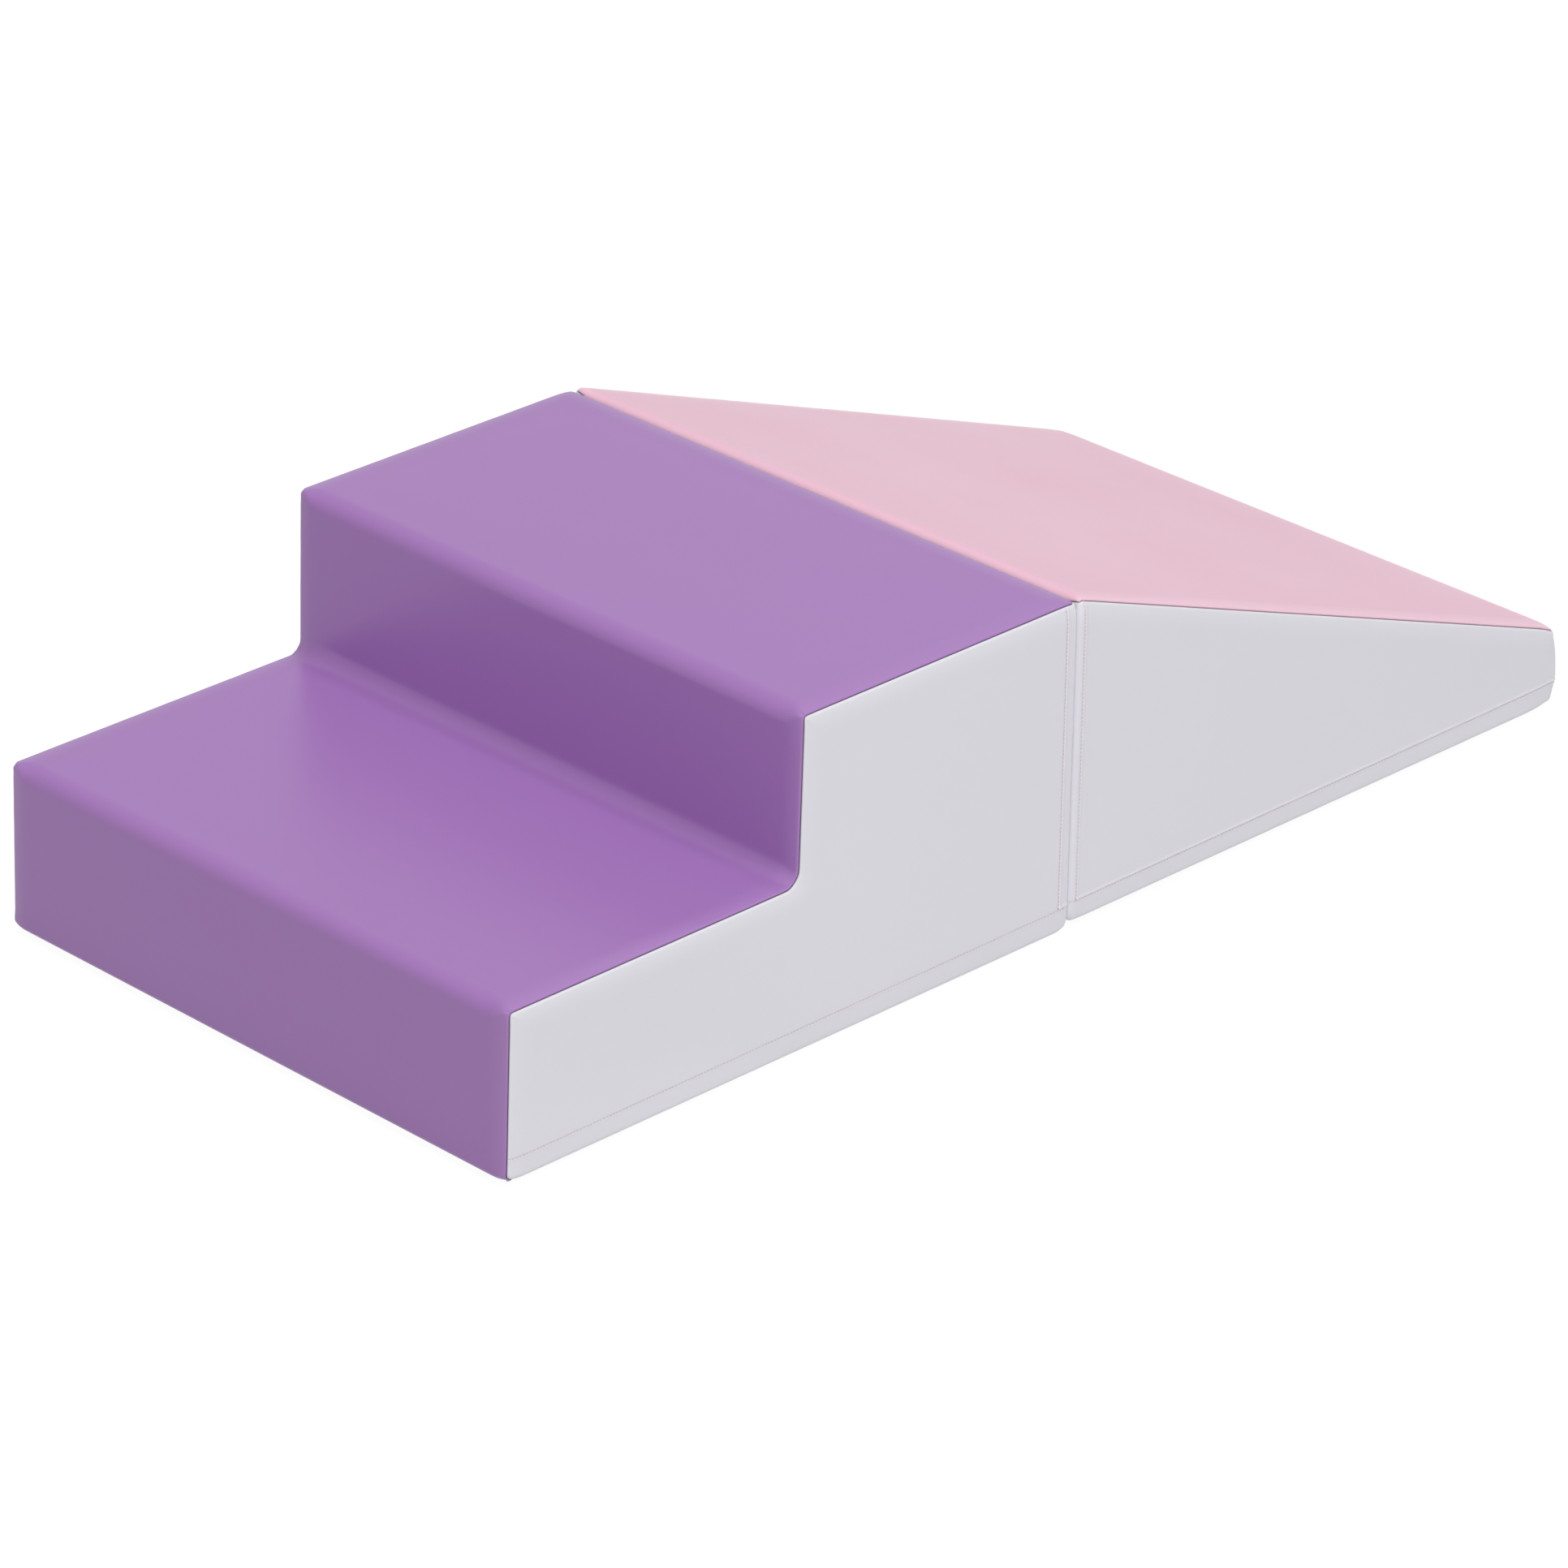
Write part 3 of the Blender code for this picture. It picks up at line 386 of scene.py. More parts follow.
class RoundedPath:
    """A flat path of straight runs and rounded corners, with its inside on its right."""

    def __init__(self, corners: Sequence[Flat], radii: Sequence[CornerRadius], starts_in_corner: bool,
                 ends_in_corner: bool, seamed: bool = True) -> None:
        """Keep the path's shape.

        Args:
            corners: The path's corners.
            radii: The radius of each inner corner, in order.
            starts_in_corner: Whether the path starts part way round its first inner corner.
            ends_in_corner: Whether it ends part way round its last one.
            seamed: Whether its ends are seams.
        """
        self.corners = [np.array(corner, float) for corner in corners]
        self.radii = list(radii)
        self.starts_in_corner = starts_in_corner
        self.ends_in_corner = ends_in_corner
        self.seamed = seamed

    def walk(self, openness: float = 0.0, first_share: float = 0.0, last_share: float = 1.0) -> Walk:
        """Walk the path.

        Args:
            openness: The way, from 0 to 1, from the corners' radii at the seam to those in the middle.
            first_share: The share of the first corner's turn at which the path starts.
            last_share: The share of the last corner's turn at which the path ends.

        Returns:
            Its points, as many for any openness and shares.
        """
        points: list[Array] = []
        normals: list[Array] = []
        inner = range(1, len(self.corners) - 1)
        place = self.corners[0]
        for index in inner:
            before = unit(self.corners[index] - self.corners[index - 1])
            after = unit(self.corners[index + 1] - self.corners[index])
            nominal = float(np.linalg.norm(self.corners[index] - self.corners[index - 1]))
            radius = self.radii[index - 1].at(openness)
            turn = math.atan2(before[0] * after[1] - before[1] * after[0], float(before @ after))
            side = 1 if turn < 0 else -1
            start = self.corners[index] - before * radius * math.tan(abs(turn) / 2)
            centre = start + right_of(before) * radius * side
            in_first = index == inner[0] and self.starts_in_corner
            in_last = index == inner[-1] and self.ends_in_corner
            if not in_first:
                self._run(points, normals, place, start, nominal, index == inner[0] and self.seamed, False)
            shares = (first_share if in_first else 0.0, last_share if in_last else 1.0)
            fine = (in_first and self.seamed, in_last and self.seamed)
            self._arc(points, normals, centre, start - centre, turn, self.radii[index - 1].seam, shares, fine)
            place = points[-1]
        if not self.ends_in_corner:
            nominal = float(np.linalg.norm(self.corners[-1] - self.corners[-2]))
            self._run(points, normals, place, self.corners[-1], nominal, False, self.seamed)
        found = np.array(points)
        steps = np.linalg.norm(np.diff(found, axis=0), axis=1)
        return Walk(found, np.array(normals), np.concatenate([[0.0], np.cumsum(steps)]))

    @staticmethod
    def _run(points: list[Array], normals: list[Array], start: Array, end: Array,
             nominal: float, fine_start: bool, fine_end: bool) -> None:
        """Add a straight run, without the point that it shares with the corner before it."""
        along = unit(end - start)
        scale = float(np.linalg.norm(end - start)) / nominal
        for gap in graded(nominal, fine_start, fine_end)[1 if points else 0 :]:
            points.append(start + along * gap * scale)
            normals.append(-right_of(along))

    @staticmethod
    def _arc(points: list[Array], normals: list[Array], centre: Array, spoke: Array,
             turn: float, nominal_radius: float, shares: Flat, fine: tuple[bool, bool]) -> None:
        """Add a rounded corner, or the part of it between two shares of its turn."""
        side = 1 if turn < 0 else -1
        radius = float(np.linalg.norm(spoke))
        nominal = nominal_radius * abs(turn)
        for gap in graded(nominal, *fine, pitch=nominal / COVER.arc_steps)[1 if points else 0 :]:
            angle = turn * (shares[0] + (shares[1] - shares[0]) * gap / nominal)
            cosine, sine = math.cos(angle), math.sin(angle)
            arm = np.array([spoke[0] * cosine - spoke[1] * sine, spoke[0] * sine + spoke[1] * cosine])
            points.append(centre + arm)
            normals.append(arm / radius * side)


class CoverPressure:
    """How far a cover swells over its foam, from a cloth simulation of the whole block."""

    voxel = 9 * MM
    margin = 60 * MM
    softness = 6 * MM
    frames = 20
    neighbours = 4
    # How much more than its gap the way past a stretch's end counts, so that it counts only beside the stretch
    past_weight = 1e3
    cloth_settings = {
        "quality": 5, "mass": 0.3, "tension_stiffness": 15, "compression_stiffness": 15, "shear_stiffness": 5,
        "bending_stiffness": 0.5, "use_pressure": True, "uniform_pressure_force": 4.0,
    }

    def __init__(self, name: str, profile: Sequence[Flat]) -> None:
        """Simulate a block's cover.

        Args:
            name: The block's name.
            profile: The block's outline from the side.
        """
        self.profile = [np.array(corner, float) for corner in profile]
        self.tree: Optional[kdtree.KDTree] = None
        self.swell = np.zeros(0)
        self._simulate(name)

    def share_at(self, places: Array) -> Array:
        """Return how much of its crown a cover has at each place, from 0 to 1.

        Args:
            places: Points on the cover.

        Returns:
            The share of the crown at each.
        """
        if self.tree is None:
            return self._freedom(places)
        found = np.zeros(len(places))
        for index, place in enumerate(places):
            weights = 0.0
            total = 0.0
            for _, near, gap in self.tree.find_n(Vector(place), self.neighbours):
                weight = 1.0 / (gap + MM)
                weights += weight
                total += weight * self.swell[near]
            found[index] = total / weights
        return np.tanh(found / self.softness)

    def _freedom(self, places: Array) -> Array:
        """Return how free the cover is to swell at each place, by its distance from the block's edges."""
        flat = places[:, [0, 2]]
        across = COVER.half_width - np.abs(places[:, 1])
        gaps = []
        for start, end in zip(self.profile, self.profile[1:] + self.profile[:1]):
            along = unit(end - start)
            past = self._past(flat, start, end, along)
            gaps.append(np.abs((flat - start) @ right_of(along)) + self.past_weight * past)
        nearest = np.sort(np.array(gaps), axis=0)
        on_side = across < COVER.edge_roll
        first_gap = np.where(on_side, nearest[0], nearest[1])
        second_gap = np.where(on_side, 1.0, across)
        free = smooth_share(first_gap / self.margin) * smooth_share(second_gap / self.margin)
        return free * smooth_share((places[:, 2] - COVER.band_height) / self.margin)

    @staticmethod
    def _past(flat: Array, start: Array, end: Array, along: Array) -> Array:
        """Return how far points lie past the ends of a stretch of outline."""
        run = (flat - start) @ along
        length = float(np.linalg.norm(end - start))
        return np.maximum(0.0, np.maximum(-run, run - length) - COVER.edge_roll)

    def _body(self, name: str) -> Piece:
        """Make the block's closed body, remeshed for the simulation."""
        shape = block_shape(self.profile, 0.0, COVER.edge_roll)
        mesh = bpy.data.meshes.new(name)
        shape.to_mesh(mesh)
        shape.free()
        body = link(name, mesh)
        remesh = body.modifiers.new("Remesh", "REMESH")
        remesh.mode = "VOXEL"
        remesh.voxel_size = self.voxel
        body.data = evaluated_mesh(body)
        body.modifiers.clear()
        return body

    def _simulate(self, name: str) -> None:
        """Run the cloth and keep how far each point swelled outwards."""
        body = self._body(name + "_pressure")
        rest = vertex_places(body.data)
        normals = vertex_normals(body.data)
        group = body.vertex_groups.new(name="held")
        for index, weight in enumerate(1.0 - self._freedom(rest)):
            group.add([index], float(weight), "REPLACE")
        cloth = body.modifiers.new("Cloth", "CLOTH")
        settings = cloth.settings
        for setting, value in self.cloth_settings.items():
            setattr(settings, setting, value)
        settings.effector_weights.gravity = 0
        settings.vertex_group_mass = group.name
        cloth.point_cache.frame_start = 1
        cloth.point_cache.frame_end = self.frames
        for step in range(1, self.frames + 1):
            bpy.context.scene.frame_set(step)
        moved = vertex_places(evaluated_mesh(body)) - rest
        self.swell = np.maximum((moved * normals).sum(axis=1), 0.0)
        LOG.info("%s: cover swells by up to %.1f mm before its cap", name, self.swell.max() / MM)
        self.tree = kdtree.KDTree(len(rest))
        for index, place in enumerate(rest):
            self.tree.insert(Vector(place), index)
        self.tree.balance()
        bpy.data.objects.remove(body, do_unlink=True)
        bpy.context.scene.frame_set(1)


def block_shape(profile: Sequence[Array], inset: float, roll: float) -> Shape:
    """Make a block's closed body: its side outline, drawn in, extruded and rounded.

    Args:
        profile: The block's outline from the side.
        inset: How far the body lies inside the block.
        roll: The radius of its edges.

    Returns:
        The body as a new bmesh.
    """
    shape = bmesh.new()
    half = COVER.half_width - inset
    face = shape.faces.new([shape.verts.new((point[0], -half, point[1])) for point in profile])
    if inset > 0:
        face.normal_update()
        ring = bmesh.ops.inset_region(shape, faces=[face], thickness=inset, use_boundary=True, use_even_offset=True)
        bmesh.ops.delete(shape, geom=ring["faces"], context="FACES")
    made = bmesh.ops.extrude_face_region(shape, geom=[face])
    moved = [item for item in made["geom"] if isinstance(item, bmesh.types.BMVert)]
    bmesh.ops.translate(shape, vec=Vector((0, 2 * half, 0)), verts=moved)
    bmesh.ops.recalc_face_normals(shape, faces=shape.faces)
    bmesh.ops.bevel(shape, geom=shape.edges[:], offset=roll, offset_type="OFFSET", affect="EDGES", segments=3,
                    profile=0.5, material=-1, clamp_overlap=True)
    return shape


@dataclass(frozen=True)
class Tuck:
    """A corner at which the cover is drawn in: where, which way, how far round it and how folded."""

    place: Place
    pull: Place
    reach: float
    fold: float = 0.0

    folds = 5
    fold_radius = 6.5 * MM
    fold_width = 4.5 * MM

    def moves(self, places: Array, normals: Array) -> Array:
        """Return how far each place moves.

        Args:
            places: Points on the cover.
            normals: Their normals.

        Returns:
            The moves.
        """
        away = places - np.array(self.place)
        distance = np.linalg.norm(away, axis=1)
        moved = np.exp(-((distance / self.reach) ** 2))[:, None] * np.array(self.pull)
        if self.fold > 0:
            axis = -unit(np.array(self.pull))
            first = unit(np.cross(axis, (0.0, 0.0, 1.0)))
            angle = np.arctan2(away @ np.cross(axis, first), away @ first)
            ring = np.exp(-(((distance - self.fold_radius) / self.fold_width) ** 2))
            moved = moved + normals * (self.fold * ring * np.cos(self.folds * angle))[:, None]
        return moved


@dataclass(frozen=True)
class Lean:
    """A riser that leans back towards its top: its place, its two heights and how far it leans."""

    place: float
    low: float
    high: float
    amount: float
    reach: float = 160 * MM

    def shift(self, x: Array, z: Array) -> Array:
        """Return how far points move along X.

        Args:
            x: Their X.
            z: Their Z.

        Returns:
            The moves.
        """
        rise = np.clip((z - self.low) / (self.high - self.low), 0.0, 1.0)
        return self.amount * rise * smooth_share(1.0 - np.abs(x - self.place) / self.reach)


@dataclass(frozen=True)
class Settle:
    """How a whole cover settles on its block.

    Its corners are drawn in, its risers lean, its foot is rounded up and its mating face swells round the
    fastening strips.
    """

    tucks: tuple[Tuck, ...]
    mate: float
    far: float
    mate_lift: float
    far_lift: float
    leans: tuple[Lean, ...] = ()
    press: float = 1.25 * MM
    press_depth: float = 20 * MM
    press_gap: float = 2 * MM
    press_reach: float = 14 * MM
    lift_reach: float = 38 * MM
    lift_height: float = 40 * MM

    def move(self, places: Array, normals: Array) -> Array:
        """Return places on the cover after it has settled.

        Args:
            places: Points on the cover.
            normals: Their normals.

        Returns:
            The settled points.
        """
        moved = places.copy()
        for tuck in self.tucks:
            moved += tuck.moves(places, normals)
        x, y, z = places.T
        for lean in self.leans:
            moved[:, 0] += lean.shift(x, z)
        outwards = math.copysign(1.0, self.mate - self.far)
        strips = (STRIP.high_centre + STRIP.low_centre) / 2
        tall = (STRIP.high_centre - STRIP.low_centre + STRIP.height) / 2
        beyond = np.maximum(np.abs(y) - STRIP.length / 2, np.abs(z - strips) - tall)
        near = 1.0 - smooth_share(np.abs(self.mate - x) / self.press_depth)
        moved[:, 0] += outwards * self.press * near * smooth_share((beyond - self.press_gap) / self.press_reach)
        inside = np.minimum(COVER.half_width - np.abs(y), np.minimum(np.abs(x - self.far), np.abs(self.mate - x)))
        low = (1.0 - smooth_share(inside / self.lift_reach)) * (1.0 - smooth_share(z / self.lift_height))
        moved[:, 2] += low * np.interp(np.abs(x - self.far) / abs(self.mate - self.far), (0, 1),
                                       (self.far_lift, self.mate_lift))
        return moved


def mirrored(tuck: Tuck) -> tuple[Tuck, Tuck]:
    """Return a tuck on the left side and the same one on the right."""
    place, pull = tuck.place, tuck.pull
    other = Tuck((place[0], -place[1], place[2]), (pull[0], -pull[1], pull[2]), tuck.reach, tuck.fold)
    return tuck, other


@dataclass
class SeamEdge:
    """One edge of a panel, as seen from each of the panel's points, and how much of a rolled seam's shape it has."""

    kind: Seam
    gaps: Array
    along: Array
    strength: Union[float, Array] = 1.0


@dataclass(frozen=True)
class Drape:
    """How a cover lies: its crown, the dips and ridges at its seams and the gathers beside them, in metres."""

    crown: float = 0.0
    rolled_dip: float = 1.3 * MM
    stitched_dip: float = 0.2 * MM
    dip_reach: float = 1.8 * MM
    shoulder: float = 2.8 * MM
    shoulder_reach: float = 20 * MM
    ridge: float = 0.0
    ridge_place: float = 1.7 * MM
    ridge_width: float = 1.0 * MM
    crown_reach: float = 60 * MM
    gather: float = 0.14 * MM
    gather_length: float = 17 * MM
    gather_reach: float = 13 * MM


class CoverPanel:
    """A cover panel: a grid of points laid on the block, then draped, seamed and given its thickness."""

    # The power by which rolled seams that meet share their depth
    meeting = 4
    merge_gap = 0.01 * MM
    # A flat seam's share of a rolled seam's gathers
    stitched_gather = 0.6

    def __init__(self, name: str, node: str, cover: "BlockCover", slot: str, material: Material) -> None:
        """Name the panel.

        Args:
            name: The piece's name.
            node: The CAD node that it replaces.
            cover: The cover that it is part of.
            slot: The record's slot of its finish; it is kept but not used.
            material: Its finish.
        """
        self.name = name
        self.node = node
        self.cover = cover
        self.slot = slot
        self.material = material
        self.edges: list[SeamEdge] = []
        self.gaps: dict[Seam, Array] = {}
        self.draped = np.zeros((0, 0, 3))
        self.outward = np.zeros((0, 0, 3))

    def make(self, places: Array, pattern: Array, outward: Place, drape: Drape,
             keep: Optional[Callable[[int, int], bool]] = None, closed: bool = False) -> None:
        """Build the panel.

        Args:
            places: Points of the grid, as rows, columns and coordinates.
            pattern: The same points on the flat pattern, in metres.
            outward: A direction in which the panel as a whole looks.
            drape: How the cover lies.
            keep: Whether the face after a row and a column is part of the panel.
            closed: Whether the last column meets the first.
        """
        rows, columns = places.shape[:2]
        shape = bmesh.new()
        bmesh.ops.create_grid(shape, x_segments=columns - 1, y_segments=rows - 1, size=1.0)
        index_layer = shape.verts.layers.int.new("grid_index")
        for vert in shape.verts:
            column = round((vert.co.x + 1) / 2 * (columns - 1))
            row = round((vert.co.y + 1) / 2 * (rows - 1))
            vert[index_layer] = row * columns + column
            vert.co = Vector(places[row, column])
        if keep is not None:
            dropped = []
            for face in shape.faces:
                corner = min(vert[index_layer] for vert in face.verts)
                if not keep(*divmod(corner, columns)):
                    dropped.append(face)
            bmesh.ops.delete(shape, geom=dropped, context="FACES")
        if closed:
            bmesh.ops.remove_doubles(shape, verts=shape.verts, dist=self.merge_gap)
        shape.normal_update()
        turn_towards(shape, Vector(outward))
        shape.normal_update()
        self._drape(shape, index_layer, drape, (rows, columns))
        self._finish(shape, index_layer, pattern)

    def _drape(self, shape: Shape, index_layer: bmesh.types.BMLayerItem, drape: Drape,
               size: tuple[int, int]) -> None:
        """Lay the panel as its drape says."""
        places = np.array([vert.co for vert in shape.verts])
        normals = np.array([vert.normal for vert in shape.verts])
        chosen = np.array([vert[index_layer] for vert in shape.verts])
        rise = np.zeros(len(places))
        if drape.crown > 0:
            rise = drape.crown * self.cover.pressure.share_at(places)
        self.gaps = {kind: np.full(len(places), 1.0) for kind in (Seam.ROLLED, Seam.STITCHED)}
        for number, edge in enumerate(self.edges):
            gaps = np.maximum(edge.gaps.ravel()[chosen], 0.0)
            along = edge.along.ravel()[chosen]
            if edge.kind is Seam.STITCHED:
                rise *= smooth_share(gaps / drape.crown_reach)
            if edge.kind in self.gaps:
                self.gaps[edge.kind] = np.minimum(self.gaps[edge.kind], gaps)
                rise += self._gathers(edge.kind, gaps, along, drape, number)
        drawn_in = np.zeros(len(places))
        for edge in self.edges:
            gaps = np.maximum(edge.gaps.ravel()[chosen], 0.0)
            if edge.kind is Seam.ROLLED:
                strength = np.broadcast_to(edge.strength, size).ravel()[chosen]
                drawn_in += (strength * self._rolled_depth(gaps, drape)) ** self.meeting
            elif edge.kind is Seam.STITCHED:
                rise += self._stitched_rise(gaps, drape)
        rise -= drawn_in ** (1 / self.meeting)
        moved = self.cover.settle.move(places + normals * rise[:, None], normals)
        laid = np.full((2, size[0] * size[1], 3), np.nan)
        laid[:, chosen] = moved, normals
        self.draped, self.outward = laid.reshape(2, *size, 3)
        for vert, place in zip(shape.verts, moved):
            vert.co = Vector(place)

    def _gathers(self, kind: Seam, gaps: Array, along: Array, drape: Drape, number: int) -> Array:
        """Return the small waves beside a seam."""
        seed = float(sum(map(ord, self.name)) % 97) + 7.3 * number
        wave = np.array([noise.noise(Vector((place / drape.gather_length, seed, 0.5))) for place in along])
        strength = drape.gather * (1.0 if kind is Seam.ROLLED else self.stitched_gather)
        return strength * wave * np.exp(-gaps / drape.gather_reach) * smooth_share(gaps / drape.dip_reach)

    @staticmethod
    def _dip(gaps: Array, drape: Drape) -> Array:
        """Return the share of a seam's dip at each gap from it."""
        share = np.clip(1.0 - gaps / drape.dip_reach, 0.0, 1.0)
        return 1.0 - np.sqrt(1.0 - share * share)

    def _rolled_depth(self, gaps: Array, drape: Drape) -> Array:
        """Return how far a rolled seam draws the cover in at each gap from it."""
        shoulder = np.clip(1.0 - gaps / drape.shoulder_reach, 0.0, 1.0) ** 2
        return drape.rolled_dip * self._dip(gaps, drape) + drape.shoulder * shoulder

    def _stitched_rise(self, gaps: Array, drape: Drape) -> Array:
        """Return how far a flat seam lifts the cover, on its ridge, or draws it in at each gap from it."""
        ridge = np.exp(-(((gaps - drape.ridge_place) / drape.ridge_width) ** 2))
        return drape.ridge * ridge - drape.stitched_dip * self._dip(gaps, drape)

    def _finish(self, shape: Shape, index_layer: bmesh.types.BMLayerItem, pattern: Array) -> None:
        """Turn the draped grid into the finished piece, with its pattern, seam distances and thickness."""
        flat = pattern.reshape(-1, 2)
        uv_layer = shape.loops.layers.uv.new("pattern")
        for face in shape.faces:
            for loop in face.loops:
                loop[uv_layer].uv = flat[loop.vert[index_layer]]
        mesh = to_mesh(self.name, shape, self.material)
        for kind, gaps in self.gaps.items():
            layer = mesh.attributes.new(f"{kind.value}_gap", "FLOAT", "POINT")
            layer.data.foreach_set("value", gaps.astype(np.float32))
        piece = link(self.name, mesh)
        thicken(piece, COVER.thickness, -1)
        adopt(piece, self.cover.body, (self.node,))

    def thread_line(self, rows: Union[int, slice], columns: Union[int, slice]) -> "ThreadLine":
        """Return a line over the finished panel for a thread to follow.

        Args:
            rows: The grid's row, or every row.
            columns: The grid's column, or every column.

        Returns:
            The line.
        """
        points, normals = self.draped[rows, columns], self.outward[rows, columns]
        found = np.isfinite(points[:, 0])
        return ThreadLine(points[found], normals[found])


@dataclass
class ThreadLine:
    """A line of points and normals on a cover."""

    points: Array
    normals: Array


class SeamThread:
    """The stitches that show along the flat seams of one block's cover."""

    pitch = 3.6 * MM
    length = 2.4 * MM
    width = 0.46 * MM
    lift = 0.12 * MM

    def __init__(self, name: str, body: str, lines: Sequence[ThreadLine], material: Material) -> None:
        """Sew along each line.

        Args:
            name: The piece's name.
            body: The body that it rides on.
            lines: The lines to follow.
            material: The thread's finish.
        """
        shape = bmesh.new()
        for line in lines:
            self._sew(shape, line)
        adopt(link(name, to_mesh(name, shape, material)), body)

    def _sew(self, shape: Shape, line: ThreadLine) -> None:
        """Add the stitches of one line."""
        steps = np.linalg.norm(np.diff(line.points, axis=0), axis=1)
        lengths = np.concatenate([[0.0], np.cumsum(steps)])
        for index in range(int(lengths[-1] / self.pitch)):
            middle = (index + 0.5) * self.pitch
            ends = [self._at(line.points, lengths, middle + half * self.length) for half in (-0.5, 0.5)]
            normal = Vector(self._at(line.normals, lengths, middle)).normalized()
            along = Vector(ends[1] - ends[0]).normalized()
            across = along.cross(normal).normalized()
            place = Vector((ends[0] + ends[1]) / 2) + normal * self.lift
            scale = (along * self.length / 2, across * self.width / 2, normal * self.width / 2)
            turned = Matrix.Translation(place) @ Matrix(scale).transposed().to_4x4()
            bmesh.ops.create_uvsphere(shape, u_segments=8, v_segments=5, radius=1.0, matrix=turned)

    @staticmethod
    def _at(values: Array, lengths: Array, place: float) -> Array:
        """Return values at a distance along a line."""
        return np.array([np.interp(place, lengths, values[:, axis]) for axis in range(3)])


@dataclass(frozen=True)
class Row:
    """One row of a strip: its place along the strip's axis, its inset, roll angle and openness."""

    rise: float
    inset: float
    roll: float
    openness: float = 0.0


class RolledStrip:
    """A cover strip that follows a rounded path and rolls over at the edges beside it."""

    def __init__(self, path: RoundedPath, rows: list[Row], gaps: list[float],
                 lift: Callable[[Array, float], Array],
                 shares: Callable[[Row], Flat] = lambda row: (0.0, 1.0)) -> None:
        """Lay the strip out.

        Args:
            path: The path that it follows.
            rows: Its rows, side by side.
            gaps: Each row's distance from the first one, along the cover.
            lift: Places flat path points at a row's rise.
            shares: The shares of the end corners at which a row starts and ends.
        """
        walks = [path.walk(row.openness, *shares(row)) for row in rows]
        self.places = np.array(
            [lift(walk.points - walk.normals * row.inset, row.rise) for walk, row in zip(walks, rows)]
        )
        self.lengths = np.array([walk.lengths for walk in walks])
        self.across = np.repeat(np.array(gaps)[:, None], self.lengths.shape[1], axis=1)
        self.pattern = np.stack([self.lengths, self.across], axis=2)

    def edges(self, kinds: Sequence[Seam]) -> list[SeamEdge]:
        """Return the strip's seams.

        Args:
            kinds: The kinds at the path's start and end, and along the first and the last row.

        Returns:
            The edges that are seams.
        """
        ways = (
            (self.lengths, self.across),
            (self.lengths[:, -1:] - self.lengths, self.across),
            (self.across, self.lengths),
            (self.across[-1:, :] - self.across, self.lengths),
        )
        return [SeamEdge(kind, *way) for kind, way in zip(kinds, ways) if kind is not Seam.NONE]


def lift_upright(points: Array, rise: float) -> Array:
    """Place points of a side view at a distance across the width."""
    return np.column_stack([points[:, 0], np.full(len(points), rise), points[:, 1]])


def lift_level(points: Array, rise: float) -> Array:
    """Place points of a plan at a height."""
    return np.column_stack([points, np.full(len(points), rise)])


def openness_at(across: float) -> float:
    """Return how open the corners' radii are at a distance from the block's middle."""
    return float(smooth_share((COVER.half_width - COVER.edge_roll - abs(across)) / COVER.opening))


def width_rows() -> tuple[list[Row], list[float]]:
    """Return the rows of a top cover, from one long seam to the other, and their gaps."""
    inner = COVER.half_width - COVER.edge_roll
    half = inner + COVER.edge_roll * (COVER.seam_angle - COVER.half_gap_angle)
    gaps = graded(2 * half, True, True, pitch=2 * COVER.pitch)
    rows = []
    for gap in gaps:
        place = gap - half
        angle = max(0.0, (abs(place) - inner) / COVER.edge_roll)
        if angle == 0:
            rows.append(Row(place, 0.0, 0.0, openness_at(place)))
        else:
            reach = math.copysign(inner + COVER.edge_roll * math.sin(angle), place)
            rows.append(Row(reach, COVER.edge_roll * (1 - math.cos(angle)), angle))
    return rows, gaps


def rolled_row(gap: float, straight: float, flat_height: float, centre: float, up: int) -> Row:
    """Return a row of a panel that runs straight and then rolls in.

    Args:
        gap: The row's distance from the panel's first seam.
        straight: The distance at which the roll starts.
        flat_height: The row's height if it lies on the straight part.
        centre: The height of the roll's centre.
        up: 1 if the panel runs upwards, or -1.

    Returns:
        The row.
    """
    angle = max(0.0, (gap - straight) / COVER.edge_roll)
    height = flat_height if angle == 0 else centre + up * COVER.edge_roll * math.sin(angle)
    return Row(height, COVER.edge_roll * (1 - math.cos(angle)), angle)


def upright_rows(bottom: float, centre: float, seam_angle: float) -> tuple[list[Row], list[float]]:
    """Return the rows of an end panel, from its lower seam to its rolled upper one.

    Args:
        bottom: The height of its lower seam.
        centre: The height of the roll's centre.
        seam_angle: The angle of the roll at which its upper seam sits.

    Returns:
        The rows and their gaps from the lower seam.
    """
    straight = centre - bottom
    gaps = graded(straight + COVER.edge_roll * seam_angle, True, True)
    return [rolled_row(gap, straight, bottom + gap, centre, 1) for gap in gaps], gaps


def band_rows() -> tuple[list[Row], list[float]]:
    """Return the rows of a base band, from its upper seam round to the floor, and their gaps."""
    top = COVER.band_height - COVER.stitch_gap / 2
    straight = top - COVER.edge_roll
    gaps = graded(straight + COVER.edge_roll * COVER.floor_roll, True, False, pitch=COVER.band_pitch)
    return [rolled_row(gap, straight, top - gap, COVER.edge_roll, -1) for gap in gaps], gaps


def climb_share(turn: float, seam_angle: float, roll: float) -> float:
    """Return the share of a corner's turn at which a seam of one height crosses a row.

    Args:
        turn: The corner's whole turn.
        seam_angle: The seam's angle on the corner's roll.
        roll: The row's own roll angle.

    Returns:
        The share of the turn, from the face that the seam is measured from.
    """
    climb = min(1.0, math.sin(seam_angle + COVER.half_gap_angle) / math.cos(roll))
    return min(1.0, math.asin(climb) / turn)


def corner_share(seam_angle: float, roll: float) -> float:
    """Return the share of an upright corner's turn at which its seam crosses a row that rolls in."""
    reach = math.sin(seam_angle) / max(math.cos(roll), math.sin(seam_angle))
    return math.asin(reach) / RIGHT_ANGLE


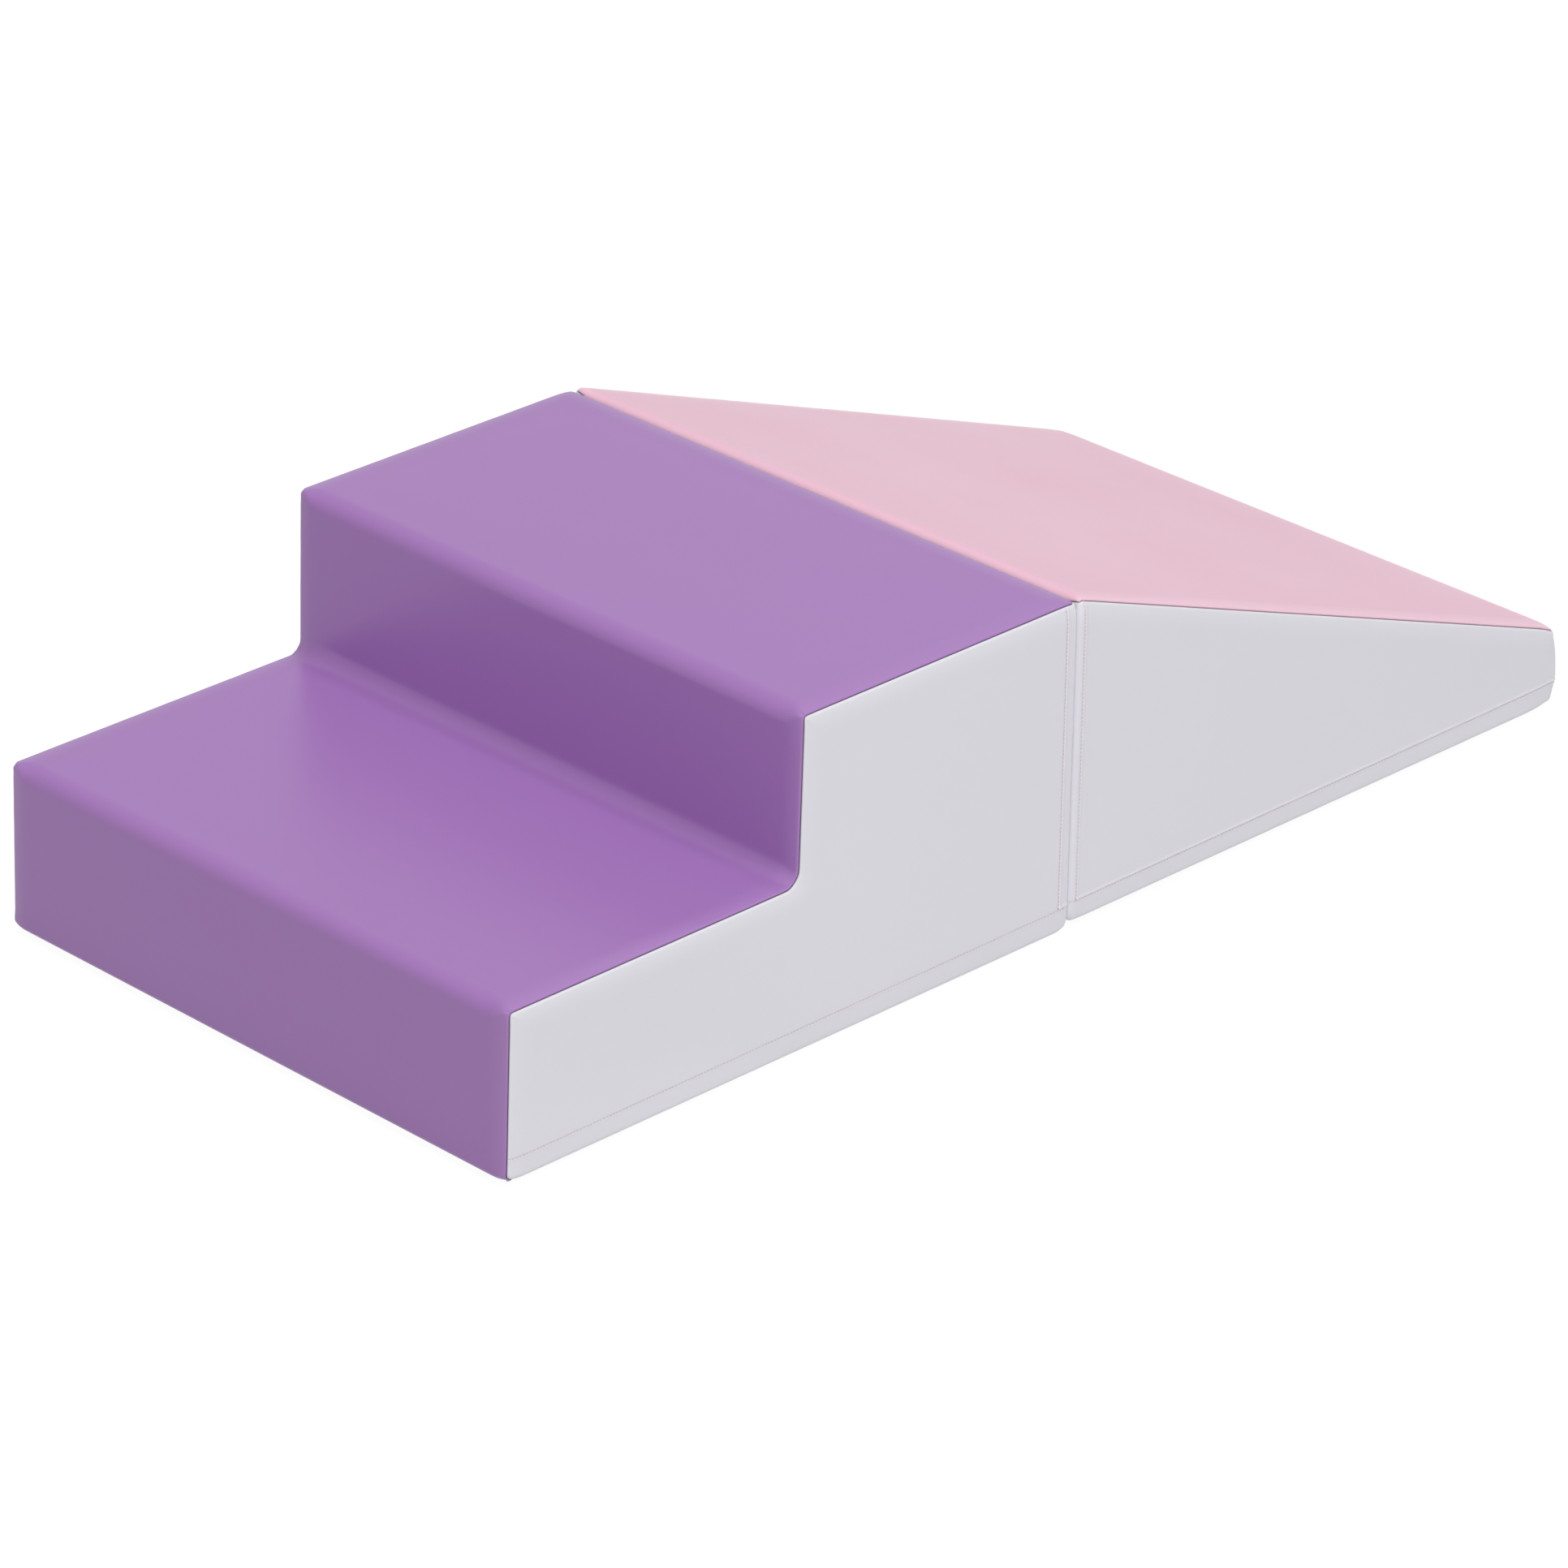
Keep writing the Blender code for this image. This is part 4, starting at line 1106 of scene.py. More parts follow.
def foot_corners(start: float, far: float) -> list[Flat]:
    """Return the plan of a block's foot, from the middle of one end right round and back to it."""
    half = COVER.half_width
    return [(start, 0.0), (start, half), (far, half), (far, -half), (start, -half), (start, 0.0)]


def end_path(near: float, face: float, in_corners: bool) -> RoundedPath:
    """Return the plan of an end panel.

    Args:
        near: X of its two ends, where it is wrapped round the corners.
        face: X of the block's end.
        in_corners: Whether it ends part way round the corners.

    Returns:
        The path from one side of the block to the other.
    """
    half = math.copysign(COVER.half_width, face - near)
    corners = [(near, half), (face, half), (face, -half), (near, -half)]
    return RoundedPath(corners, [COVER.edge] * 2, in_corners, in_corners)


def band_fade(z: Array) -> Array:
    """Return how much of its shape a rolled seam has at each height above a band that runs on under it."""
    return smooth_share((z - COVER.band_height) / BAND_FADE)


def foot_fade(z: Array) -> Array:
    """Return how much of its shape a rolled seam has at each height above the floor."""
    return smooth_share(z / FOOT_FADE)


def seam_inset() -> float:
    """Return how far inside the block's outline a side panel's rolled seam lies."""
    return COVER.edge_roll * (1 - math.cos(COVER.seam_angle + COVER.half_gap_angle))


@dataclass(frozen=True)
class CornerRound:
    """Rounds one corner of a flat grid, by moving the border onto an arc and easing the inside along."""

    corner: Flat
    first: Flat
    second: Flat
    radius: float
    convex: bool

    # How far in the corner's move eases out, in lengths of its tangent
    ease_reach = 2.6

    def moved(self, flat: Array) -> Array:
        """Return flat points with this corner rounded.

        Args:
            flat: Points of the grid.

        Returns:
            The points after the move.
        """
        corner = np.array(self.corner)
        first = unit(np.array(self.first))
        second = unit(np.array(self.second))
        local = (flat - corner) @ np.linalg.inv(np.column_stack([first, second])).T
        one, two = local[:, 0], local[:, 1]
        if self.convex:
            depth = np.minimum(one, two)
            reach = np.abs(one - two)
        else:
            depth = np.where((one < 0) & (two < 0), np.maximum(-one, -two), -np.minimum(one, two))
            reach = np.maximum(np.maximum(one, two), 0.0)
        along_first = one >= two
        half_angle = math.acos(float(np.clip(first @ second, -1, 1))) / 2
        tangent = self.radius / math.tan(half_angle)
        bisector = unit(first + second)
        centre = corner + bisector * self.radius / math.sin(half_angle)
        swing = RIGHT_ANGLE - half_angle
        share = np.clip(reach / tangent, 0.0, 1.0)
        result = flat.copy()
        ease = np.clip(1.0 - np.maximum(depth, 0.0) / (self.ease_reach * tangent), 0.0, 1.0) ** 2
        for index in np.nonzero((share < 1.0) & (ease > 0.0) & (depth > -MM))[0]:
            direction = first if along_first[index] else second
            normal = unit(direction - bisector * float(direction @ bisector))
            arm = normal * math.sin(swing * share[index]) - bisector * math.cos(swing * share[index])
            border = corner + direction * reach[index]
            result[index] += (centre + arm * self.radius - border) * ease[index]
        return result


def corner_inset(flat: Array, gaps: Sequence[Array], centre: Flat, radius: float,
                 towards: tuple[int, int]) -> Array:
    """Return the inset from two edges that meet in a rounded convex corner.

    Args:
        flat: The grid's points.
        gaps: The distances from the two edges.
        centre: The centre of the corner's round.
        radius: Its radius.
        towards: The signs of X and Z that lead from the centre to the corner.

    Returns:
        The inset of each point.
    """
    away = flat - np.array(centre)
    in_corner = (away[:, :, 0] * towards[0] > 0) & (away[:, :, 1] * towards[1] > 0)
    return np.where(in_corner, radius - np.hypot(away[:, :, 0], away[:, :, 1]), np.minimum(gaps[0], gaps[1]))


class BlockCover:
    """One block's cover, made of panels."""

    name = ""
    body = ""

    def __init__(self, finishes: "Finishes", profile: Sequence[Flat], settle: Settle) -> None:
        """Simulate the cover's swell.

        Args:
            finishes: The climber's finishes.
            profile: The block's outline from the side.
            settle: How the cover settles on the block.
        """
        self.finishes = finishes
        self.corners = list(profile)
        self.settle = settle
        self.pressure = CoverPressure(self.name, profile)
        self.threads: list[ThreadLine] = []

    def panel(self, name: str, node: str) -> CoverPanel:
        """Name a grey panel."""
        return CoverPanel(f"{self.name}_cover_{name}", f"{self.name}_{node}", self, "grey_vinyl", self.finishes.grey)

    def lay_strip(self, panel: CoverPanel, strip: RolledStrip, kinds: Sequence[Seam], outward: Place,
                  drape: Drape = Drape(), fade: Optional[Callable[[Array], Array]] = None,
                  closed: bool = False) -> CoverPanel:
        """Build a panel from a strip.

        Args:
            panel: The panel.
            strip: The strip that it is cut as.
            kinds: The seams at the strip's start and end, and along its first and last row.
            outward: A direction in which the panel as a whole looks.
            drape: How it lies.
            fade: How much of its shape an upright rolled seam has at each height.
            closed: Whether the strip's end meets its start.

        Returns:
            The panel.
        """
        panel.edges = strip.edges(kinds)
        if fade is not None:
            upright = panel.edges[2:] if kinds[0] is Seam.BASE else panel.edges[:2]
            for edge in upright:
                edge.strength = fade(strip.places[:, :, 2])
        panel.make(strip.places, strip.pattern, outward, drape, closed=closed)
        return panel

    def settle_shape(self, shape: Shape) -> None:
        """Settle a shape inside the cover as the cover does."""
        places = np.array([vert.co for vert in shape.verts])
        for vert, settled in zip(shape.verts, self.settle.move(places, np.zeros(places.shape))):
            vert.co = Vector(settled)

    def lay_side(self, side: Side, flat: Array, inset: Array, edges: list[SeamEdge], drape: Drape,
                 keep: Optional[Callable[[int, int], bool]] = None) -> CoverPanel:
        """Build a side panel from its flat pattern.

        Args:
            side: The side of the block.
            flat: The grid's points, as rows, columns and X and Z.
            inset: How far each point lies inside the rolled part of the block's outline.
            edges: Its seams.
            drape: How it lies.
            keep: Whether a face of the grid is part of it.

        Returns:
            The panel.
        """
        short = np.maximum(COVER.edge_roll - np.maximum(inset, 0.0), 0.0)
        depth = COVER.edge_roll - np.sqrt(np.maximum(COVER.edge_roll**2 - short**2, 0.0))
        across = side.value * (COVER.half_width - depth)
        places = np.stack([flat[:, :, 0], across, flat[:, :, 1]], axis=2)
        word = side.name.lower()
        panel = self.panel(f"side_{word}", f"side_panel_{word}")
        panel.edges = edges
        panel.make(places, flat, (0, side.value, 0), drape, keep)
        return panel

    def sew(self) -> None:
        """Sew the stitches that show along the flat seams."""
        SeamThread(f"{self.name}_seam_thread", self.body, self.threads, self.finishes.thread)


class StepCover(BlockCover):
    """The step block's cover: purple over the treads and risers, grey round the rest."""

    name = "step"
    body = "step_block"

    def __init__(self, finishes: "Finishes") -> None:
        """Give the cover its outline and the corners where it is drawn in."""
        half = COVER.half_width
        tucks = (
            Tuck((STEP.front, half, 0), (1.8 * MM, -1.5 * MM, 2.0 * MM), 9 * MM),
            Tuck((STEP.rear, half, 0), (-1.5 * MM, -1.5 * MM, 1.8 * MM), 8 * MM),
            Tuck((STEP.front, half, STEP.tread_height), (0.8 * MM, -0.6 * MM, -0.8 * MM), 8 * MM, 0.45 * MM),
            Tuck((STEP.riser, half, STEP.height), (0.8 * MM, -0.6 * MM, -0.8 * MM), 8 * MM, 0.45 * MM),
            Tuck((STEP.riser, half, STEP.tread_height), (-0.5 * MM, -0.4 * MM, 0.5 * MM), 8 * MM, 0.14 * MM),
            Tuck((STEP.rear, half, STEP.height), (0.6 * MM, -0.8 * MM, -1.4 * MM), 11 * MM, 0.15 * MM),
        )
        profile = [
            (STEP.front, 0.0),
            (STEP.front, STEP.tread_height),
            (STEP.riser, STEP.tread_height),
            (STEP.riser, STEP.height),
            (STEP.rear, STEP.height),
            (STEP.rear, 0.0),
        ]
        both = tuple(tuck for one in tucks for tuck in mirrored(one))
        leans = (
            Lean(STEP.front, 0.0, STEP.tread_height, STEP.first_lean),
            Lean(STEP.riser, STEP.tread_height, STEP.height, STEP.second_lean),
        )
        settle = Settle(both, STEP.rear, STEP.front, 0.8 * MM, 3.8 * MM, leans)
        super().__init__(finishes, profile, settle)

    def build(self) -> None:
        """Build every panel."""
        self.top_cover()
        for side in Side:
            self.side_panel(side)
        self.rear_panel()
        self.base_band()
        self.sew()

    def top_cover(self) -> None:
        """The purple strip, from under the front riser to the seam at the rear edge."""
        path = RoundedPath(
            [(STEP.rear, 0.0), *self.corners],
            [COVER.edge, STEP.nose, STEP.hollow, STEP.nose, COVER.edge],
            starts_in_corner=True,
            ends_in_corner=True,
        )
        rows, gaps = width_rows()
        strip = RolledStrip(
            path, rows, gaps, lift_upright,
            lambda row: (FOOT_START, 1.0 - climb_share(RIGHT_ANGLE, COVER.seam_angle, row.roll)),
        )
        panel = CoverPanel("step_cover_top", "step_top_cover", self, "purple_vinyl", self.finishes.purple)
        kinds = (Seam.BASE, Seam.ROLLED, Seam.ROLLED, Seam.ROLLED)
        self.lay_strip(panel, strip, kinds, (-1, 0, 1), Drape(crown=1.1 * MM), foot_fade)

    def side_panel(self, side: Side) -> None:
        """A grey side, shaped like the two steps."""
        lap = seam_inset()
        left, right = STEP.front + lap, STEP.rear - STEP.wrap - COVER.stitch_gap / 2
        riser, tread = STEP.riser + lap, STEP.tread_height - lap
        low, top = COVER.band_height + COVER.stitch_gap / 2, STEP.height - lap
        across = [left + step for step in graded(riser - left, True, True)]
        across += [riser + step for step in graded(right - riser, True, True)][1:]
        heights = [low + step for step in graded(tread - low, True, True)]
        heights += [tread + step for step in graded(top - tread, True, True)][1:]
        grid = np.stack(np.meshgrid(across, heights), axis=2)
        points = grid.reshape(-1, 2)
        for corner in (
            CornerRound((left, tread), (1, 0), (0, -1), STEP.nose.seam - lap, True),
            CornerRound((riser, top), (1, 0), (0, -1), STEP.nose.seam - lap, True),
            CornerRound((riser, tread), (-1, 0), (0, 1), STEP.hollow.seam + lap, False),
        ):
            points = corner.moved(points)
        flat = points.reshape(grid.shape)
        inset = self._inset(flat)

        def keep(row: int, column: int) -> bool:
            """Whether a face lies below the treads."""
            return not (across[column] < riser - COVER.stitch_gap and heights[row] > tread - COVER.stitch_gap)

        edges = [
            SeamEdge(Seam.ROLLED, inset - lap, flat[:, :, 0] + flat[:, :, 1]),
            SeamEdge(Seam.STITCHED, right - flat[:, :, 0], flat[:, :, 1]),
            SeamEdge(Seam.STITCHED, flat[:, :, 1] - low, flat[:, :, 0]),
        ]
        self.lay_side(side, flat, inset, edges, Drape(crown=SIDE_CROWN), keep)

    @staticmethod
    def _inset(flat: Array) -> Array:
        """Return how far points of a side lie inside the rolled part of the block's outline."""
        x, z = flat[:, :, 0], flat[:, :, 1]
        nose, inner = STEP.nose.seam, STEP.hollow.seam
        hollow = (STEP.riser - inner, STEP.tread_height + inner)
        lower = corner_inset(flat, [x - STEP.front, STEP.tread_height - z],
                             (STEP.front + nose, STEP.tread_height - nose), nose, (-1, 1))
        upper = corner_inset(flat, [x - STEP.riser, STEP.height - z],
                             (STEP.riser + nose, STEP.height - nose), nose, (-1, 1))
        beside = np.minimum(np.hypot(x - hollow[0], z - hollow[1]) - inner, STEP.height - z)
        return np.where(x <= hollow[0], lower, np.where(z >= hollow[1], upper, beside))

    def rear_panel(self) -> None:
        """The grey rear, wrapped round both rear corners."""
        path = end_path(STEP.rear - STEP.wrap + COVER.stitch_gap / 2, STEP.rear, False)
        rows, gaps = upright_rows(COVER.band_height + COVER.stitch_gap / 2, STEP.height - COVER.edge_roll,
                                  COVER.seam_angle - COVER.half_gap_angle)
        strip = RolledStrip(path, rows, gaps, lift_level)
        kinds = (Seam.STITCHED, Seam.STITCHED, Seam.STITCHED, Seam.ROLLED)
        panel = self.lay_strip(self.panel("rear", "rear_panel"), strip, kinds, (1, 0, 0), Drape(ridge=SIDE_RIDGE))
        self.threads += [panel.thread_line(slice(None), THREAD_ROW), panel.thread_line(slice(None), -1 - THREAD_ROW)]

    def base_band(self) -> None:
        """The grey band round the foot, from one front corner to the other."""
        path = RoundedPath(foot_corners(STEP.front, STEP.rear), [COVER.edge] * 4, True, True)
        rows, gaps = band_rows()

        def shares(row: Row) -> Flat:
            """Where the band starts and ends round the front corners."""
            share = corner_share(COVER.seam_angle + COVER.half_gap_angle, row.roll)
            return share, 1.0 - share

        strip = RolledStrip(path, rows, gaps, lift_level, shares)
        kinds = (Seam.ROLLED, Seam.ROLLED, Seam.STITCHED, Seam.BASE)
        panel = self.panel("band", "base_band")
        self.lay_strip(panel, strip, kinds, (1, 0, -1), Drape(ridge=BAND_RIDGE), foot_fade)
        self.threads.append(panel.thread_line(THREAD_ROW, slice(None)))


class RampCover(BlockCover):
    """The ramp block's cover: pink over the crest and the slide, grey round the rest."""

    name = "ramp"
    body = "ramp_block"
    side_rows = 40
    toe_reach = 60 * MM

    def __init__(self, finishes: "Finishes") -> None:
        """Give the cover its outline and the corners where it is drawn in."""
        half = COVER.half_width
        tucks = (
            Tuck((RAMP.high, half, 0), (1.0 * MM, -1.0 * MM, 0.3 * MM), 8 * MM),
            Tuck((RAMP.toe, half, 0), (-3.4 * MM, -2 * MM, 1.5 * MM), 20 * MM),
            Tuck((RAMP.toe, half, RAMP.toe_height), (-3 * MM, -1.5 * MM, -1.2 * MM), 14 * MM, 0.2 * MM),
            Tuck((RAMP.high, half, RAMP.crest_height), (0.5 * MM, -1.0 * MM, -0.5 * MM), 10 * MM, 0.15 * MM),
        )
        profile = [
            (RAMP.high, 0.0),
            (RAMP.high, RAMP.crest_height),
            (RAMP.toe, RAMP.toe_height),
            (RAMP.toe, 0.0),
        ]
        both = tuple(tuck for one in tucks for tuck in mirrored(one))
        super().__init__(finishes, profile, Settle(both, RAMP.high, RAMP.toe, 5.6 * MM, 3.0 * MM))

    def build(self) -> None:
        """Build every panel."""
        self.top_cover()
        for side in Side:
            self.side_panel(side)
        self.high_panel()
        self.toe_panel()
        self.base_band()
        self.sew()

    def top_cover(self) -> None:
        """The pink strip, from the seam under the crest to the seam over the toe."""
        path = RoundedPath(self.corners, [RAMP.crest, RAMP.toe_edge], starts_in_corner=True, ends_in_corner=True)
        rows, gaps = width_rows()
        crest_turn, toe_turn = RIGHT_ANGLE + RAMP.slope, RIGHT_ANGLE - RAMP.slope

        def shares(row: Row) -> Flat:
            """Where a row starts round the crest and ends round the toe."""
            return (RAMP.crest_share(row.roll, crest_turn),
                    1.0 - climb_share(toe_turn, COVER.toe_seam_angle, row.roll))

        strip = RolledStrip(path, rows, gaps, lift_upright, shares)
        panel = CoverPanel("ramp_cover_top", "ramp_top_cover", self, "pink_vinyl", self.finishes.pink)
        self.lay_strip(panel, strip, (Seam.ROLLED,) * 4, (0, 0, 1), Drape(crown=1.2 * MM))

    def side_panel(self, side: Side) -> None:
        """A grey side, as tall as the crest at one end and as the toe at the other."""
        lap = seam_inset()
        left, right = RAMP.high + RAMP.wrap + COVER.stitch_gap / 2, RAMP.toe - lap
        low = COVER.band_height + COVER.stitch_gap / 2
        drop = lap / math.cos(RAMP.slope)
        columns = []
        for x in [left + step for step in graded(right - left, True, True)]:
            top = RAMP.crest_height - (x - RAMP.high) * math.tan(RAMP.slope) - drop
            heights = [low + step for step in NEAR_SEAM]
            heights += list(np.linspace(low + NEAR_SEAM[-1], top - NEAR_SEAM[-1], self.side_rows + 1))[1:-1]
            heights += [top - step for step in NEAR_SEAM][::-1]
            columns.append([(x, height) for height in heights])
        grid = np.array(columns).transpose(1, 0, 2)
        toe_top = (right, grid[-1, -1, 1])
        up_slope = (-math.cos(RAMP.slope), math.sin(RAMP.slope))
        points = CornerRound(toe_top, up_slope, (0, -1), COVER.edge_roll - lap, True).moved(grid.reshape(-1, 2))
        flat = points.reshape(grid.shape)
        inset = self._inset(flat)
        toe_share = smooth_share((flat[:, :, 0] - RAMP.toe) / self.toe_reach + 1.0)
        edges = [
            SeamEdge(Seam.ROLLED, inset - lap, flat[:, :, 0], 1.0 - toe_share * (1.0 - band_fade(flat[:, :, 1]))),
            SeamEdge(Seam.STITCHED, flat[:, :, 0] - left, flat[:, :, 1]),
            SeamEdge(Seam.STITCHED, flat[:, :, 1] - low, flat[:, :, 0]),
        ]
        panel = self.lay_side(side, flat, inset, edges, Drape(crown=SIDE_CROWN, ridge=SIDE_RIDGE))
        self.threads.append(panel.thread_line(slice(None), THREAD_ROW))

    @staticmethod
    def _inset(flat: Array) -> Array:
        """Return how far points of a side lie inside the rolled part of the block's outline."""
        x, z = flat[:, :, 0], flat[:, :, 1]
        roll, slope = COVER.edge_roll, RAMP.slope
        under = (RAMP.crest_height - z) * math.cos(slope) - (x - RAMP.high) * math.sin(slope)
        centre_x = RAMP.toe - roll
        centre_z = RAMP.crest_height - (roll + (centre_x - RAMP.high) * math.sin(slope)) / math.cos(slope)
        away_x, away_z = x - centre_x, z - centre_z
        in_corner = (away_x * math.cos(slope) - away_z * math.sin(slope) > 0) & (away_z > 0)
        return np.where(in_corner, roll - np.hypot(away_x, away_z), np.minimum(under, RAMP.toe - x))

    def high_panel(self) -> None:
        """The grey high end, wrapped round both of its corners, with a seam that dips between them."""
        walk = end_path(RAMP.high + RAMP.wrap - COVER.stitch_gap / 2, RAMP.high, False).walk()
        bottom = COVER.band_height + COVER.stitch_gap / 2
        nominal = RAMP.crest_height - bottom
        gaps = np.array(graded(nominal, True, True))
        places = np.zeros((len(gaps), len(walk.points), 3))
        reach = np.zeros(places.shape[:2])
        for column, (point, normal) in enumerate(zip(walk.points, walk.normals)):
            openness = openness_at(point[1])
            radius = RAMP.crest.at(openness)
            centre = RAMP.crest_height - radius * (math.tan(RAMP.slope) + 1 / math.cos(RAMP.slope))
            straight = centre - bottom
            swing = math.acos(float(np.clip(-normal[0], 0.0, 1.0)))
            whole = straight + radius * (float(RAMP.crest_angle(swing)) - COVER.half_gap_angle)
            reach[:, column] = gaps * whole / nominal
            angle = np.maximum(0.0, (reach[:, column] - straight) / radius)
            height = np.where(angle > 0, centre + radius * np.sin(angle), bottom + reach[:, column])
            places[:, column, :2] = point - normal * (radius * (1 - np.cos(angle)))[:, None]
            places[:, column, 2] = height
        lengths = np.repeat(walk.lengths[None, :], len(gaps), axis=0)
        panel = self.panel("high", "high_panel")
        panel.edges = [
            SeamEdge(Seam.STITCHED, lengths, reach),
            SeamEdge(Seam.STITCHED, walk.lengths[-1] - lengths, reach),
            SeamEdge(Seam.STITCHED, reach, lengths),
            SeamEdge(Seam.ROLLED, reach[-1:, :] - reach, lengths),
        ]
        panel.make(places, np.stack([lengths, reach], axis=2), (-1, 0, 0), Drape())

    def toe_panel(self) -> None:
        """The low grey toe, between its two corner seams."""
        centre = RAMP.toe_height + COVER.edge_roll * (math.tan(RAMP.slope) - 1 / math.cos(RAMP.slope))
        rows, gaps = upright_rows(COVER.band_height + COVER.stitch_gap / 2, centre,
                                  COVER.toe_seam_angle - COVER.half_gap_angle)

        def shares(row: Row) -> Flat:
            """Where the toe panel starts and ends round its corners."""
            share = 1.0 - corner_share(COVER.seam_angle - COVER.half_gap_angle, row.roll)
            return share, 1.0 - share

        strip = RolledStrip(end_path(RAMP.high, RAMP.toe, True), rows, gaps, lift_level, shares)
        kinds = (Seam.ROLLED, Seam.ROLLED, Seam.STITCHED, Seam.ROLLED)
        self.lay_strip(self.panel("toe", "toe_panel"), strip, kinds, (1, 0, 0), fade=band_fade)

    def base_band(self) -> None:
        """The grey band, all the way round the foot."""
        path = RoundedPath(foot_corners(RAMP.high, RAMP.toe), [COVER.edge] * 4, False, False, seamed=False)
        strip = RolledStrip(path, *band_rows(), lift_level)
        kinds = (Seam.NONE, Seam.NONE, Seam.STITCHED, Seam.BASE)
        panel = self.panel("band", "base_band")
        self.lay_strip(panel, strip, kinds, (0, 0, -1), Drape(ridge=BAND_RIDGE), closed=True)
        self.threads.append(panel.thread_line(THREAD_ROW, slice(0, -1)))


class FoamCore:
    """One block's foam, cut as two slabs, with a channel for the zip."""

    roll = 10 * MM

    def __init__(self, cover: BlockCover, zip_centre: float, finishes: "Finishes") -> None:
        """Keep what the slabs are cut from.

        Args:
            cover: The cover that the foam fills.
            zip_centre: X of the zip.
            finishes: The climber's finishes.
        """
        self.cover = cover
        self.zip_centre = zip_centre
        self.finishes = finishes

    def build(self) -> None:
        """Cut both slabs."""
        self._slab("lower", None, SLAB_SPLIT - SLAB_GAP / 2, True)
        self._slab("upper", SLAB_SPLIT + SLAB_GAP / 2, None, False)

    def _slab(self, place: str, low: Optional[float], high: Optional[float], channelled: bool) -> None:
        """Cut the slab between two heights."""
        name = f"{self.cover.name}_foam_slab_{place}"
        shape = block_shape([np.array(corner) for corner in self.cover.corners], FOAM_INSET, self.roll)
        for height, keep_above in ((low, True), (high, False)):
            if height is None:
                continue
            rim = cut_shape(shape, (0, 0, height), (0, 0, 1), clear_inner=keep_above, clear_outer=not keep_above)
            bmesh.ops.contextual_create(shape, geom=rim)
        self.cover.settle_shape(shape)
        slab = link(name, to_mesh(name, shape, self.finishes.foam, smooth=False))
        if channelled:
            self._cut_channel(slab)
        adopt(slab, self.cover.body, (f"{self.cover.name}_foam_{place}",))

    def _cut_channel(self, slab: Piece) -> None:
        """Cut the zip's channel from a slab's underside."""
        shape = bmesh.new()
        bmesh.ops.create_cube(shape, size=1.0)
        width, length = 2 * (ZIP.tape_outer + ZIP.channel_margin), ZIP.tape_length + 2 * ZIP.channel_margin
        size = (width, length, 2 * (ZIP.top + ZIP.channel_room))
        bmesh.ops.scale(shape, vec=Vector(size), verts=shape.verts)
        bmesh.ops.translate(shape, vec=Vector((self.zip_centre, 0, 0)), verts=shape.verts)
        cutter = link("channel", to_mesh("channel", shape, self.finishes.foam))
        boolean = slab.modifiers.new("channel", "BOOLEAN")
        boolean.operation = "DIFFERENCE"
        boolean.object = cutter
        slab.data = evaluated_mesh(slab)
        slab.modifiers.clear()
        bpy.data.objects.remove(cutter, do_unlink=True)


class BasePanel:
    """The non-slip base fabric, with a hemmed slot for the zip."""

    segments = 96
    edge_gap = 0.3 * MM
    hem_turn = 1.2 * MM

    def __init__(self, cover: BlockCover, low_x: float, high_x: float, zip_centre: float,
                 finishes: "Finishes") -> None:
        """Make the panel.

        Args:
            cover: The cover that it closes.
            low_x: X of the block's low end.
            high_x: X of its high end.
            zip_centre: X of the zip.
            finishes: The climber's finishes.
        """
        edge = COVER.edge_roll + self.edge_gap
        name = f"{cover.name}_base_fabric"
        shape = bmesh.new()
        bmesh.ops.create_grid(shape, x_segments=self.segments, y_segments=self.segments, size=0.5)
        length, width = high_x - low_x - 2 * edge, 2 * (COVER.half_width - edge)
        bmesh.ops.scale(shape, vec=Vector((length, width, 1)), verts=shape.verts)
        bmesh.ops.translate(shape, vec=Vector(((low_x + high_x) / 2, 0, 0)), verts=shape.verts)
        cover.settle_shape(shape)
        self._cut_slot(shape, zip_centre)
        piece = link(name, to_mesh(name, shape, finishes.base))
        thicken(piece, COVER.thickness, 1)
        adopt(piece, cover.body, (f"{cover.name}_base_panel",))

    def _cut_slot(self, shape: Shape, centre: float) -> None:
        """Cut the slot and turn its edge up as a hem."""
        half_width, half_length = ZIP.slot_width / 2, ZIP.slot_length / 2
        for sign in (-1, 1):
            cut_shape(shape, (centre + sign * half_width, 0, 0), (1, 0, 0))
        for sign in (-1, 1):
            cut_shape(shape, (0, sign * half_length, 0), (0, 1, 0))
        inside = []
        for face in shape.faces:
            middle = face.calc_center_median()
            if abs(middle.x - centre) < half_width and abs(middle.y) < half_length:
                inside.append(face)
        rim = {edge for face in inside for edge in face.edges}
        rim = [edge for edge in rim if any(face not in inside for face in edge.link_faces)]
        bmesh.ops.delete(shape, geom=inside, context="FACES_ONLY")
        loose = [edge for edge in shape.edges if not edge.link_faces]
        bmesh.ops.delete(shape, geom=loose, context="EDGES")
        rim = [edge for edge in rim if edge.is_valid]
        for lift in (self.hem_turn, ZIP.hem_height - COVER.thickness - self.hem_turn):
            made = bmesh.ops.extrude_edge_only(shape, edges=rim)
            moved = [item for item in made["geom"] if isinstance(item, bmesh.types.BMVert)]
            rim = [item for item in made["geom"] if isinstance(item, bmesh.types.BMEdge)]
            rim = [edge for edge in rim if len(edge.link_faces) == 1 and all(vert in moved for vert in edge.verts)]
            bmesh.ops.translate(shape, vec=Vector((0, 0, lift)), verts=moved)
        bmesh.ops.recalc_face_normals(shape, faces=shape.faces)
        turn_towards(shape, Vector((0, 0, 1)))


